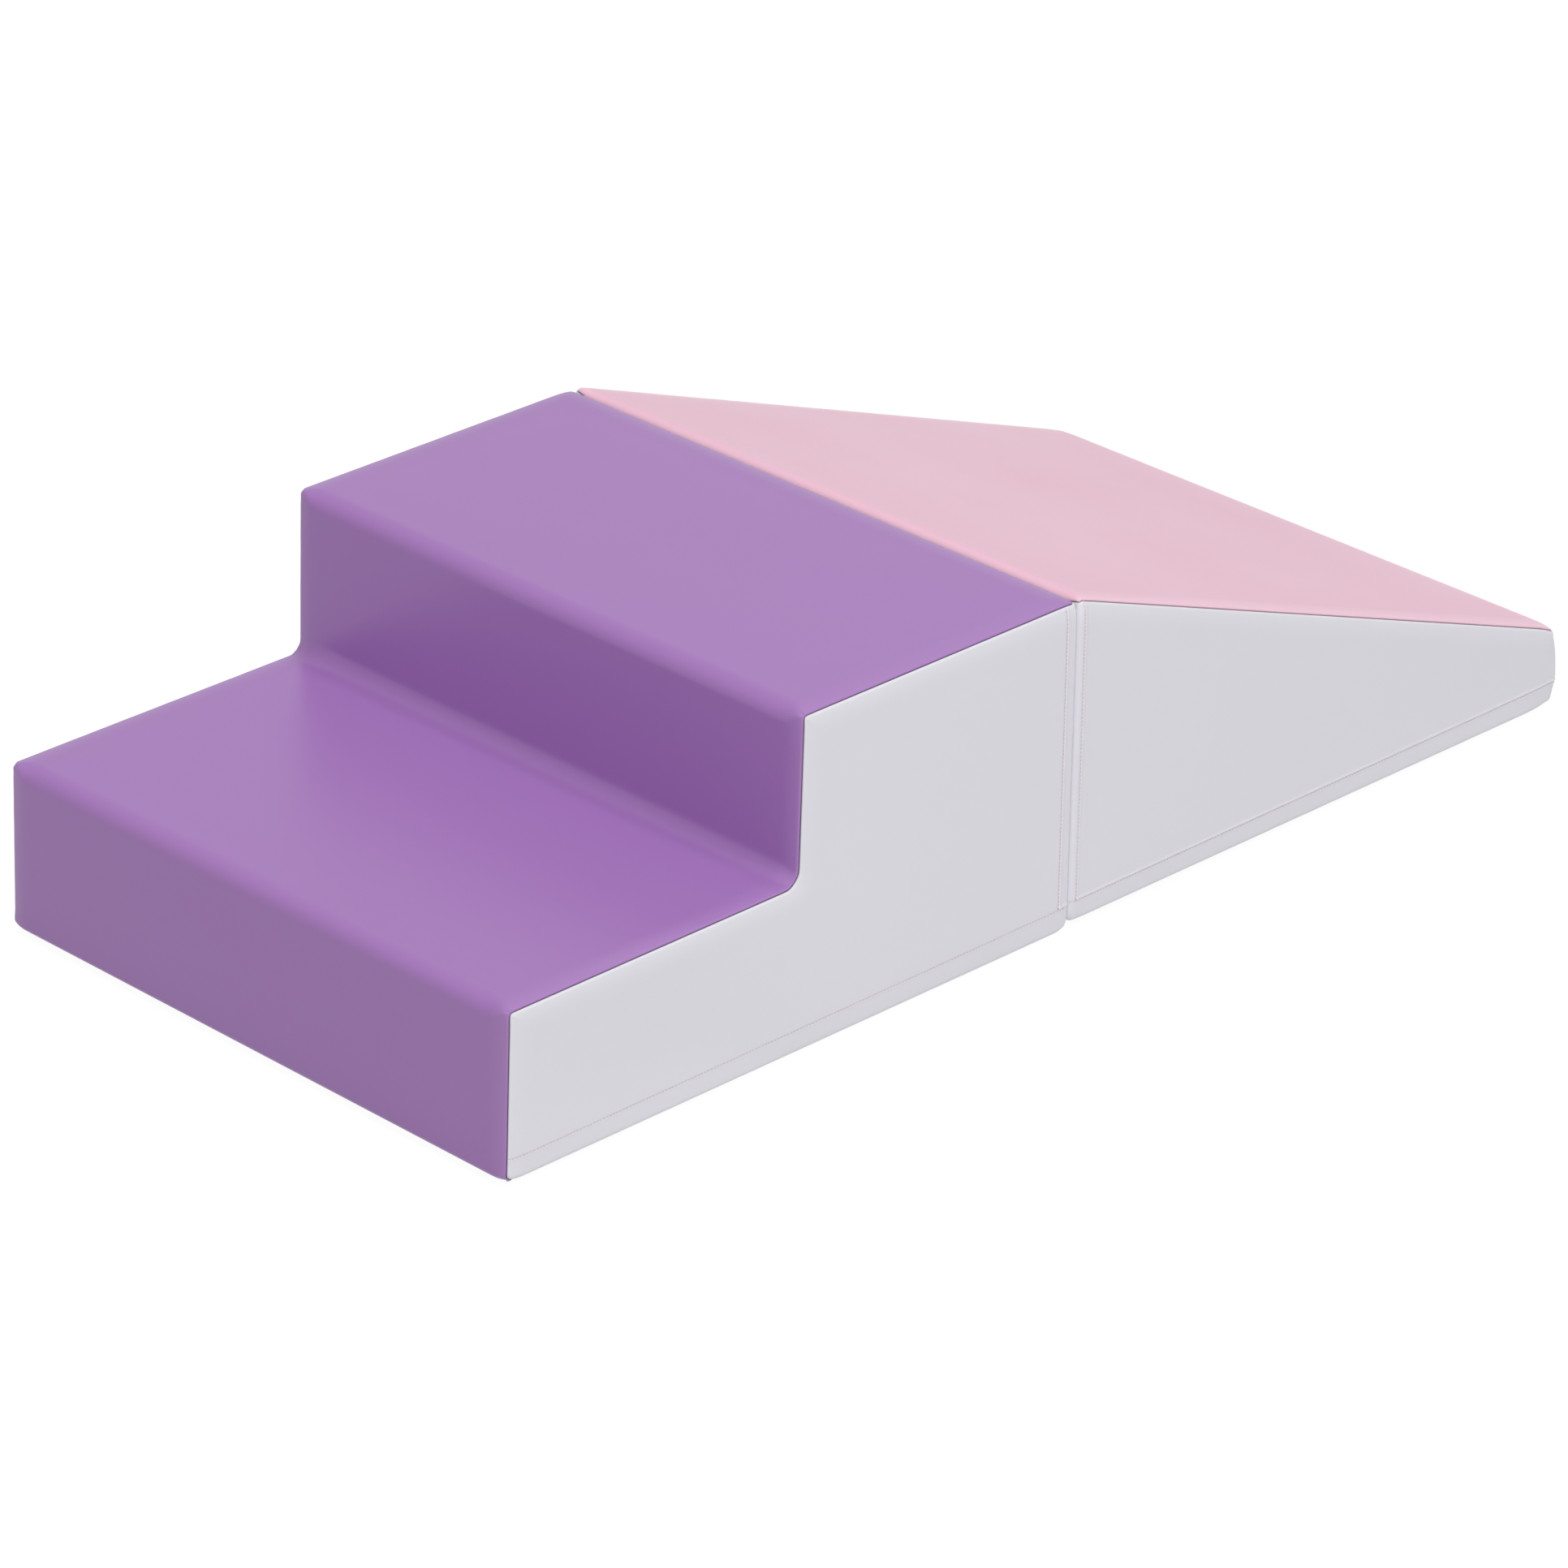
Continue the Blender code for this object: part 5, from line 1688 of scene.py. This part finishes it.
class Zip:
    """One block's zip: woven tapes and wound coils, with the CAD's metal pieces in a worn finish."""

    turn_steps = 10
    # How much of the tape's thickness its selvage and its waves take up
    tape_relief = 0.2 * MM
    selvage = 0.1 * MM
    wave = 0.06 * MM
    metal_nodes = ("zip_stop_bottom", "zip_stop_top", "zip_slider", "zip_pull")

    def __init__(self, cover: BlockCover, centre: float, finishes: "Finishes") -> None:
        """Keep the zip's place.

        Args:
            cover: The cover that it closes.
            centre: X of the zip.
            finishes: The climber's finishes.
        """
        self.cover = cover
        self.centre = centre
        self.finishes = finishes

    def build(self) -> None:
        """Build both sides of the zip and dress its metal."""
        for side, place in ((-1, "front"), (1, "rear")):
            self._tape(side, place)
            self._coil(side, place)
        for node in self.metal_nodes:
            item = bpy.data.objects[f"{self.cover.name}_{node}"]
            item.material_slots[0].material = self.finishes.metal
            LOG.info("%s keeps its CAD shape in a worn metal finish", item.name)

    def _tape(self, side: int, place: str) -> None:
        """A woven tape, a little thicker along its selvage."""
        name = f"{self.cover.name}_woven_tape_{place}"
        inner, outer = ZIP.slit / 2, ZIP.tape_outer
        shape = bmesh.new()
        bmesh.ops.create_grid(shape, x_segments=14, y_segments=128, size=0.5)
        for vert in shape.verts:
            share = vert.co.x + 0.5
            cord = self.selvage * math.exp(-(((share - 0.93) / 0.05) ** 2))
            wave = self.wave * noise.noise(Vector((share * 2, vert.co.y * 30, side)))
            across = self.centre + side * (inner + (outer - inner) * share)
            vert.co = Vector((across, vert.co.y * ZIP.tape_length, ZIP.tape_low + cord + wave))
        bmesh.ops.recalc_face_normals(shape, faces=shape.faces)
        turn_towards(shape, Vector((0, 0, 1)))
        tape = link(name, to_mesh(name, shape, self.finishes.tape))
        thicken(tape, ZIP.tape - self.tape_relief, 1)
        adopt(tape, self.cover.body, (f"{self.cover.name}_zip_tape_{place}",))

    def _coil(self, side: int, place: str) -> None:
        """A wound coil along the inner edge of a tape."""
        name = f"{self.cover.name}_wound_coil_{place}"
        half_width = (ZIP.coil_width - ZIP.coil_wire) / 2
        half_height = (ZIP.coil_height - ZIP.coil_wire) / 2
        middle = self.centre + side * (ZIP.slit + ZIP.coil_width) / 2
        length = ZIP.coil_length - ZIP.coil_wire
        turns = int(length / ZIP.coil_pitch)
        curve = bpy.data.curves.new(name, "CURVE")
        curve.dimensions = "3D"
        curve.bevel_depth = ZIP.coil_wire / 2
        curve.bevel_resolution = 1
        curve.use_fill_caps = True
        spline = curve.splines.new("POLY")
        spline.points.add(turns * self.turn_steps)
        for index, point in enumerate(spline.points):
            angle = side * 2 * math.pi * index / self.turn_steps
            along = length * (index / (turns * self.turn_steps) - 0.5)
            height = ZIP.coil_low + ZIP.coil_height / 2 + half_height * math.sin(angle)
            point.co = (middle + half_width * math.cos(angle), along, height, 1.0)
        source = link(name + "_route", curve)
        mesh = evaluated_mesh(source)
        bpy.data.objects.remove(source, do_unlink=True)
        mesh.materials.clear()
        mesh.materials.append(self.finishes.coil)
        mesh.shade_smooth()
        adopt(link(name, mesh), self.cover.body, (f"{self.cover.name}_zip_coil_{place}",))


class FasteningStrip:
    """A strip of hook or loop: a woven backing with a pile that stands up from it inside a flat border."""

    # The least share of its depth at which the pile stands, and the loops' tufts to a metre
    least_pile = 0.25
    tufts = 900

    def __init__(self, cover: BlockCover, word: str, place: str, height: float, face: float, out: int,
                 depth: float, material: Material) -> None:
        """Make the strip.

        Args:
            cover: The cover that it is sewn to.
            word: Its kind, hook or loop.
            place: Low or high.
            height: The height of its middle.
            face: X of the cover's face, with its clearance.
            out: The sign of X away from the cover.
            depth: Its whole depth.
            material: Its finish.
        """
        name = f"{cover.name}_{word}_pile_{place}"
        shape = bmesh.new()
        across = round(STRIP.length / STRIP.pile_pitch)
        up = round(STRIP.height / STRIP.pile_pitch)
        bmesh.ops.create_grid(shape, x_segments=across, y_segments=up, size=0.5)
        for vert in shape.verts:
            along, rise = vert.co.x * STRIP.length, vert.co.y * STRIP.height
            edge = min(STRIP.length / 2 - abs(along), STRIP.height / 2 - abs(rise))
            stand = float(smooth_share((edge - STRIP.border) / (2 * STRIP.pile_pitch)))
            fuzz = noise.random() if word == "hook" else 0.5 + 0.5 * noise.noise(vert.co * self.tufts)
            pile = self.least_pile + (1 - self.least_pile) * fuzz
            lift = STRIP.backing + (depth - STRIP.backing) * stand * pile
            vert.co = Vector((face + out * lift, along, height + rise))
        bmesh.ops.recalc_face_normals(shape, faces=shape.faces)
        turn_towards(shape, Vector((out, 0, 0)))
        piece = link(name, to_mesh(name, shape, material))
        thicken(piece, STRIP.backing, -1)
        adopt(piece, cover.body, (f"{cover.name}_{word}_strip_{place}",))


class Graph:
    """A material under construction: its shader and the nodes that feed it."""

    def __init__(self, name: str, colour: Colour) -> None:
        """Start a material with a name and its plain colour."""
        self.material = bpy.data.materials.new(name)
        self.material.use_nodes = True
        self.material.diffuse_color = (*colour, 1.0)
        self.tree = self.material.node_tree
        self.shader = self.tree.nodes["Principled BSDF"]
        place = self.tree.nodes.new("ShaderNodeTexCoord")
        self.object = place.outputs["Object"]
        self.pattern = place.outputs["UV"]

    def node(self, kind: str, sockets: dict[Union[str, int], object], output: Union[str, int] = 0,
             **settings: object) -> Socket:
        """Add a node.

        Args:
            kind: The node's type.
            sockets: What each of its inputs holds: a value or another node's output.
            output: The output to return.
            settings: The node's own settings.

        Returns:
            The output.
        """
        made = self.tree.nodes.new(kind)
        for name, value in settings.items():
            setattr(made, name, value)
        for name, value in sockets.items():
            if isinstance(value, Socket):
                self.tree.links.new(value, made.inputs[name])
            else:
                made.inputs[name].default_value = value
        return made.outputs[output]

    def fix(self, values: dict[str, float]) -> None:
        """Give the shader's own sockets constant values."""
        for name, value in values.items():
            self.shader.inputs[name].default_value = value

    def feed(self, name: str, source: Socket) -> None:
        """Lead a node's output to the shader."""
        self.tree.links.new(source, self.shader.inputs[name])

    def finished(self, colour: Socket, normal: Socket, roughness: Optional[Socket] = None) -> Material:
        """Lead a colour, a relief and, if it varies, a roughness to the shader, and return the material."""
        self.feed("Base Color", colour)
        self.feed("Normal", normal)
        if roughness is not None:
            self.feed("Roughness", roughness)
        return self.material

    def noise(self, where: Socket, size: float, detail: float = 2.0) -> Socket:
        """Return a cloudy pattern of some size."""
        return self.node("ShaderNodeTexNoise", {"Vector": where, "Scale": 1.0 / size, "Detail": detail}, "Fac")

    def span(self, value: Socket, low: float, high: float, to_low: float, to_high: float) -> Socket:
        """Return a value's range brought to another range."""
        return self.node("ShaderNodeMapRange", {"Value": value, "From Min": low, "From Max": high, "To Min": to_low,
                                                "To Max": to_high}, "Result")

    def blend(self, share: Union[float, Socket], first: object, second: object, mode: str = "MIX") -> Socket:
        """Return two colours blended."""
        return self.node("ShaderNodeMix", {"Factor": share, "A": first, "B": second}, "Result", data_type="RGBA",
                         blend_type=mode)

    def bump(self, height: Socket, distance: float, below: Optional[Socket] = None) -> Socket:
        """Return the normal of a relief, over another one if given."""
        sockets: dict[Union[str, int], object] = {"Height": height, "Distance": distance, "Strength": 1.0}
        if below is not None:
            sockets["Normal"] = below
        return self.node("ShaderNodeBump", sockets, "Normal")

    def weave(self, where: Socket, pitch: float) -> Socket:
        """Return the relief of threads that cross each other."""
        turned = self.node("ShaderNodeVectorRotate", {"Vector": where, "Angle": math.radians(45)}, "Vector")
        sides = [self.node("ShaderNodeTexWave", {"Vector": turned, "Scale": 0.5 / pitch}, "Fac", bands_direction=way)
                 for way in ("X", "Y")]
        return self.node("ShaderNodeMath", {0: sides[0], 1: sides[1]}, 0, operation="MAXIMUM")

    def dots(self, where: Socket, pitch: float, radius_share: float) -> Socket:
        """Return a mask of round dots on a square grid."""
        scaled = self.node("ShaderNodeVectorMath", {0: where, 1: (1 / pitch, 1 / pitch, 0)}, 0, operation="MULTIPLY")
        cell = self.node("ShaderNodeVectorMath", {0: scaled}, 0, operation="FRACTION")
        centred = self.node("ShaderNodeVectorMath", {0: cell, 1: (0.5, 0.5, 0)}, 0, operation="SUBTRACT")
        away = self.node("ShaderNodeVectorMath", {0: centred}, "Value", operation="LENGTH")
        return self.span(away, radius_share, radius_share * 0.7, 0.0, 1.0)


def shaded(colour: Colour, factor: float) -> tuple[float, float, float, float]:
    """Return a colour made lighter or darker."""
    return (*(min(1.0, part * factor) for part in colour), 1.0)


@dataclass(frozen=True)
class VinylFinish:
    """A smooth coated fabric with a fine grain and soft clouds of gloss, with painted shade in its seams and a
    painted highlight beside its rolled seams.
    """

    name: str
    colour: Colour
    # How dark the painted shade in a rolled seam's crevice is
    painted_seam_shade: float = 0.35
    # How far the painted highlight beside a rolled seam goes towards white
    painted_seam_highlight: float = 0.02
    roughness: float = 0.32
    grain_size: float = 0.9 * MM
    grain_depth: float = 0.012 * MM
    ripple_size: float = 38 * MM
    ripple_depth: float = 0.03 * MM

    def material(self) -> Material:
        """Return the finish as a node material."""
        graph = Graph(self.name, self.colour)
        graph.fix({"IOR": 1.48, "Sheen Weight": 0.04, "Sheen Roughness": 0.4})
        cloud = graph.noise(graph.object, 170 * MM, 3.0)
        tint = graph.blend(cloud, shaded(self.colour, 0.985), shaded(self.colour, 1.015))
        gaps = {seam: graph.node("ShaderNodeAttribute", {}, "Fac", attribute_name=f"{seam.value}_gap")
                for seam in (Seam.ROLLED, Seam.STITCHED)}
        # Painted highlight: the colour is blended towards white from 22 mm to 5 mm off a rolled seam, where the
        # rolled edge catches the light
        pale = graph.span(gaps[Seam.ROLLED], 5 * MM, 22 * MM, self.painted_seam_highlight, 0.0)
        tint = graph.blend(pale, tint, (1.5, 1.5, 1.5, 1))
        # Painted shade: the colour is darkened within 1.6 mm of a rolled seam and 0.6 mm of a flat seam, where the
        # crevice is shaded
        for seam, reach, shade in ((Seam.ROLLED, 1.6 * MM, self.painted_seam_shade), (Seam.STITCHED, 0.6 * MM, 0.93)):
            tint = graph.blend(1.0, tint, graph.span(gaps[seam], 0.0, reach, shade, 1.0), "MULTIPLY")
        roughness = graph.span(cloud, 0.3, 0.7, self.roughness - 0.02, self.roughness + 0.03)
        ripple = graph.bump(graph.noise(graph.object, self.ripple_size), self.ripple_depth)
        cells = graph.node("ShaderNodeTexVoronoi", {"Vector": graph.pattern, "Scale": 1 / self.grain_size},
                           "Distance", feature="SMOOTH_F1")
        return graph.finished(tint, graph.bump(cells, self.grain_depth, ripple), roughness)


@dataclass(frozen=True)
class FoamFinish:
    """Cut foam: open cells in a pale matt block."""

    colour: Colour = (0.80, 0.76, 0.62)

    def material(self) -> Material:
        """Return the finish as a node material."""
        graph = Graph("cut_foam", self.colour)
        graph.fix({"Roughness": 0.95, "Specular IOR Level": 0.2})
        cells = graph.node("ShaderNodeTexVoronoi", {"Vector": graph.object, "Scale": 1 / (1.6 * MM)}, "Distance")
        age = graph.noise(graph.object, 90 * MM)
        aged = graph.blend(age, shaded(self.colour, 0.93), shaded(self.colour, 1.06))
        colour = graph.blend(1.0, aged, graph.span(cells, 0.0, 0.5, 0.8, 1.0), "MULTIPLY")
        return graph.finished(colour, graph.bump(cells, 0.4 * MM))


@dataclass(frozen=True)
class WovenFinish:
    """A woven fabric, with dots of grip if asked."""

    name: str
    colour: Colour
    pitch: float
    depth: float
    roughness: float = 0.9
    dot_pitch: float = 0.0

    def material(self) -> Material:
        """Return the finish as a node material."""
        graph = Graph(self.name, self.colour)
        graph.fix({"Sheen Weight": 0.25, "Sheen Roughness": 0.5})
        threads = graph.weave(graph.object, self.pitch)
        colour = graph.blend(threads, shaded(self.colour, 0.7), shaded(self.colour, 1.1))
        cloud = graph.noise(graph.object, 60 * MM, 3.0)
        colour = graph.blend(1.0, colour, graph.span(cloud, 0.3, 0.7, 0.9, 1.0), "MULTIPLY")
        normal, roughness = graph.bump(threads, self.depth), None
        if self.dot_pitch > 0:
            dots = graph.dots(graph.object, self.dot_pitch, 0.3)
            colour = graph.blend(dots, colour, shaded(self.colour, 0.45))
            normal = graph.bump(dots, 0.5 * MM, normal)
            roughness = graph.span(dots, 0.0, 1.0, self.roughness, 0.55)
        else:
            graph.fix({"Roughness": self.roughness})
        return graph.finished(colour, normal, roughness)


@dataclass(frozen=True)
class PileFinish:
    """The fuzz of a hook or loop strip."""

    name: str
    colour: Colour
    sheen: float

    def material(self) -> Material:
        """Return the finish as a node material."""
        graph = Graph(self.name, self.colour)
        graph.fix({"Roughness": 0.95, "Sheen Weight": self.sheen, "Sheen Roughness": 0.35})
        fuzz = graph.noise(graph.object, 0.7 * MM, 4.0)
        rows = graph.noise(graph.object, 12 * MM)
        colour = graph.blend(fuzz, shaded(self.colour, 0.6), shaded(self.colour, 1.2))
        colour = graph.blend(1.0, colour, graph.span(rows, 0.3, 0.7, 0.92, 1.0), "MULTIPLY")
        return graph.finished(colour, graph.bump(fuzz, 0.5 * MM))


@dataclass(frozen=True)
class MetalFinish:
    """Plated zip metal, dulled and rubbed at its edges."""

    colour: Colour = (0.62, 0.62, 0.64)

    def material(self) -> Material:
        """Return the finish as a node material."""
        graph = Graph("zip_plating", self.colour)
        graph.fix({"Metallic": 1.0})
        rub = graph.node("ShaderNodeNewGeometry", {}, "Pointiness")
        edge = graph.span(rub, 0.5, 0.58, 0.0, 1.0)
        haze = graph.noise(graph.object, 1.5 * MM, 4.0)
        colour = graph.blend(edge, shaded(self.colour, 0.9), shaded(self.colour, 1.25))
        return graph.finished(colour, graph.bump(haze, 0.01 * MM), graph.span(haze, 0.3, 0.7, 0.25, 0.42))


@dataclass(frozen=True)
class ThreadFinish:
    """Twisted sewing thread or moulded coil."""

    name: str
    colour: Colour
    roughness: float

    def material(self) -> Material:
        """Return the finish as a node material."""
        graph = Graph(self.name, self.colour)
        graph.fix({"Sheen Weight": 0.3})
        twist = graph.node("ShaderNodeTexWave", {"Vector": graph.object, "Scale": 0.5 / (0.3 * MM)}, "Fac",
                           bands_direction="DIAGONAL")
        wear = graph.noise(graph.object, 20 * MM)
        colour = graph.blend(twist, shaded(self.colour, 0.85), shaded(self.colour, 1.1))
        roughness = graph.span(wear, 0.3, 0.7, self.roughness - 0.05, self.roughness + 0.05)
        return graph.finished(colour, graph.bump(twist, 0.03 * MM), roughness)


class Finishes:
    """Every finish of the climber."""

    def __init__(self) -> None:
        """Make the materials."""
        self.purple = VinylFinish("purple_coated_fabric", (0.394, 0.192, 0.517)).material()
        # The pink's painted highlight beside its rolled seams is stronger; the grey has a lighter painted shade in
        # its seams and no painted highlight
        self.pink = VinylFinish("pink_coated_fabric", (0.869, 0.474, 0.617), painted_seam_highlight=0.13).material()
        self.grey = VinylFinish("grey_coated_fabric", (0.845, 0.831, 0.889), painted_seam_shade=0.75, painted_seam_highlight=0.0,
                                roughness=0.36).material()
        self.foam = FoamFinish().material()
        self.base = WovenFinish("non_slip_base", (0.09, 0.09, 0.10), 1.1 * MM, 0.2 * MM, dot_pitch=7 * MM).material()
        self.tape = WovenFinish("zip_tape_weave", (0.52, 0.50, 0.55), 0.7 * MM, 0.12 * MM).material()
        self.coil = ThreadFinish("zip_coil_nylon", (0.45, 0.44, 0.48), 0.4).material()
        self.metal = MetalFinish().material()
        self.hook = PileFinish("hook_pile", (0.66, 0.64, 0.69), 0.2).material()
        self.loop = PileFinish("loop_pile", (0.62, 0.60, 0.65), 0.6).material()
        self.thread = ThreadFinish("seam_thread", (0.81, 0.52, 0.61), 0.7).material()


@dataclass(frozen=True)
class PhotoCamera:
    """The photograph's camera, fitted to the object's edges: metres and degrees."""

    azimuth: float = -45.1594
    elevation: float = 26.3226
    roll: float = 0.8482
    distance: float = 5.90303
    across: float = -0.43164
    up: float = -0.21960
    lens: float = 167.386
    aim: Place = (-0.639, 0.0, 0.0)
    sensor: float = 36.0

    def place(self) -> None:
        """Make the camera and give it to the scene."""
        azimuth, elevation, roll = (math.radians(angle) for angle in (self.azimuth, self.elevation, self.roll))
        back = Vector((math.sin(azimuth) * math.cos(elevation), -math.cos(azimuth) * math.cos(elevation),
                       math.sin(elevation)))
        level = Vector((math.cos(azimuth), math.sin(azimuth), 0.0))
        upright = back.cross(level)
        right = level * math.cos(roll) + upright * math.sin(roll)
        top = upright * math.cos(roll) - level * math.sin(roll)
        where = back * self.distance - right * self.across - top * self.up + Vector(self.aim)
        data = bpy.data.cameras.new("photo_camera")
        data.lens = self.lens
        data.sensor_width = self.sensor
        data.clip_end = 100
        camera = link("photo_camera", data)
        camera.matrix_world = Matrix.Translation(where) @ Matrix((right, top, back)).transposed().to_4x4()
        bpy.context.scene.camera = camera


@dataclass(frozen=True)
class Lamp:
    """A round soft lamp that looks at the middle of the climber, and isn't seen in reflections."""

    name: str
    power: float
    size: float
    place: Place

    def build(self) -> None:
        """Build the lamp."""
        data = bpy.data.lights.new(self.name, "AREA")
        data.shape = "DISK"
        data.size = self.size
        data.energy = self.power
        lamp = link(self.name, data)
        place = Vector(self.place)
        lamp.matrix_world = Matrix.Translation(place) @ place.to_track_quat("Z", "Y").to_matrix().to_4x4()
        lamp.visible_glossy = False


@dataclass(frozen=True)
class Studio:
    """A white floor and sky, with broad soft lamps overhead, beside and in front of the climber."""

    ambient: float = 0.277
    mirrored: float = 0.85
    lamps: tuple[Lamp, ...] = (
        Lamp("overhead_lamp", 362.0, 4.0, (0.0, 0.0, 10.0)),
        Lamp("side_lamp", 248.0, 4.0, (0.0, -6.0, 8.0)),
        Lamp("front_lamp", 250.0, 4.0, (-6.8, -6.8, 2.7)),
    )
    floor_size: float = 40.0
    floor_drop: float = 0.4 * MM
    floor_albedo: float = 0.6
    floor_glow: float = 1.12
    floor_white: float = 0.85

    def build(self) -> None:
        """Build the sky, floor and lamps."""
        self._sky()
        self._floor()
        for lamp in self.lamps:
            lamp.build()

    def _sky(self) -> None:
        """White to the camera, nearly so in reflections, and softer as a light."""
        world = bpy.data.worlds.new("studio_sky")
        bpy.context.scene.world = world
        world.use_nodes = True
        tree = world.node_tree
        background = tree.nodes["Background"]
        background.inputs["Color"].default_value = (1, 1, 1, 1)
        path = tree.nodes.new("ShaderNodeLightPath")
        strength: Optional[Socket] = None
        tests = (("Is Transmission Ray", 1.0), ("Is Glossy Ray", self.mirrored), ("Is Camera Ray", 1.0))
        for test, chosen in tests:
            mix = tree.nodes.new("ShaderNodeMix")
            mix.data_type = "FLOAT"
            mix.inputs["A"].default_value = self.ambient
            mix.inputs["B"].default_value = chosen
            tree.links.new(path.outputs[test], mix.inputs["Factor"])
            if strength is not None:
                tree.links.new(strength, mix.inputs["A"])
            strength = mix.outputs["Result"]
        tree.links.new(strength, background.inputs["Strength"])

    def _floor(self) -> None:
        """A white floor that keeps the object's soft shadow."""
        shape = bmesh.new()
        bmesh.ops.create_grid(shape, x_segments=1, y_segments=1, size=self.floor_size / 2)
        bmesh.ops.translate(shape, vec=Vector((0, 0, -self.floor_drop)), verts=shape.verts)
        graph = Graph("studio_floor", (1.0, 1.0, 1.0))
        graph.fix({"Roughness": 0.9})
        graph.shader.inputs["Base Color"].default_value = (*(self.floor_albedo,) * 3, 1)
        path = graph.tree.nodes.new("ShaderNodeLightPath")
        seen = graph.node("ShaderNodeMath", {0: path.outputs["Is Camera Ray"], 1: path.outputs["Is Glossy Ray"]},
                          0, operation="MAXIMUM")
        share = graph.node("ShaderNodeMath", {0: seen, 1: self.floor_white}, 0, operation="MULTIPLY")
        glow = graph.node("ShaderNodeEmission", {"Color": (1, 1, 1, 1), "Strength": self.floor_glow})
        mixed = graph.node("ShaderNodeMixShader", {0: share, 1: graph.shader.outputs["BSDF"], 2: glow})
        graph.tree.links.new(mixed, graph.tree.nodes["Material Output"].inputs["Surface"])
        link("studio_floor", to_mesh("studio_floor", shape, graph.material))


class Climber:
    """The whole climber: two covered blocks, their bases, zips and fastening."""

    def __init__(self, finishes: Finishes) -> None:
        """Keep the finishes."""
        self.finishes = finishes

    def build(self) -> None:
        """Build both blocks."""
        step, ramp = StepCover(self.finishes), RampCover(self.finishes)
        for cover, low, high, zip_centre in (
            (step, STEP.front, STEP.rear, STEP.rear - ZIP.inset),
            (ramp, RAMP.high, RAMP.toe, RAMP.high + ZIP.inset),
        ):
            cover.build()
            FoamCore(cover, zip_centre, self.finishes).build()
            BasePanel(cover, low, high, zip_centre, self.finishes)
            Zip(cover, zip_centre, self.finishes).build()
        hook = (STEP.rear + BLOCK_CLEARANCE, 1, STRIP.hook, self.finishes.hook)
        loop = (RAMP.high - BLOCK_CLEARANCE, -1, STRIP.loop, self.finishes.loop)
        for place, height in (("low", STRIP.low_centre), ("high", STRIP.high_centre)):
            FasteningStrip(step, "hook", place, height, *hook)
            FasteningStrip(ramp, "loop", place, height, *loop)


def main() -> None:
    """Build the climber's looks and its studio."""
    bpy.context.scene.view_settings.view_transform = "Standard"
    noise.seed_set(PILE_SEED)
    PhotoCamera().place()
    Studio().build()
    Climber(Finishes()).build()


if __name__ == "__main__":
    main()
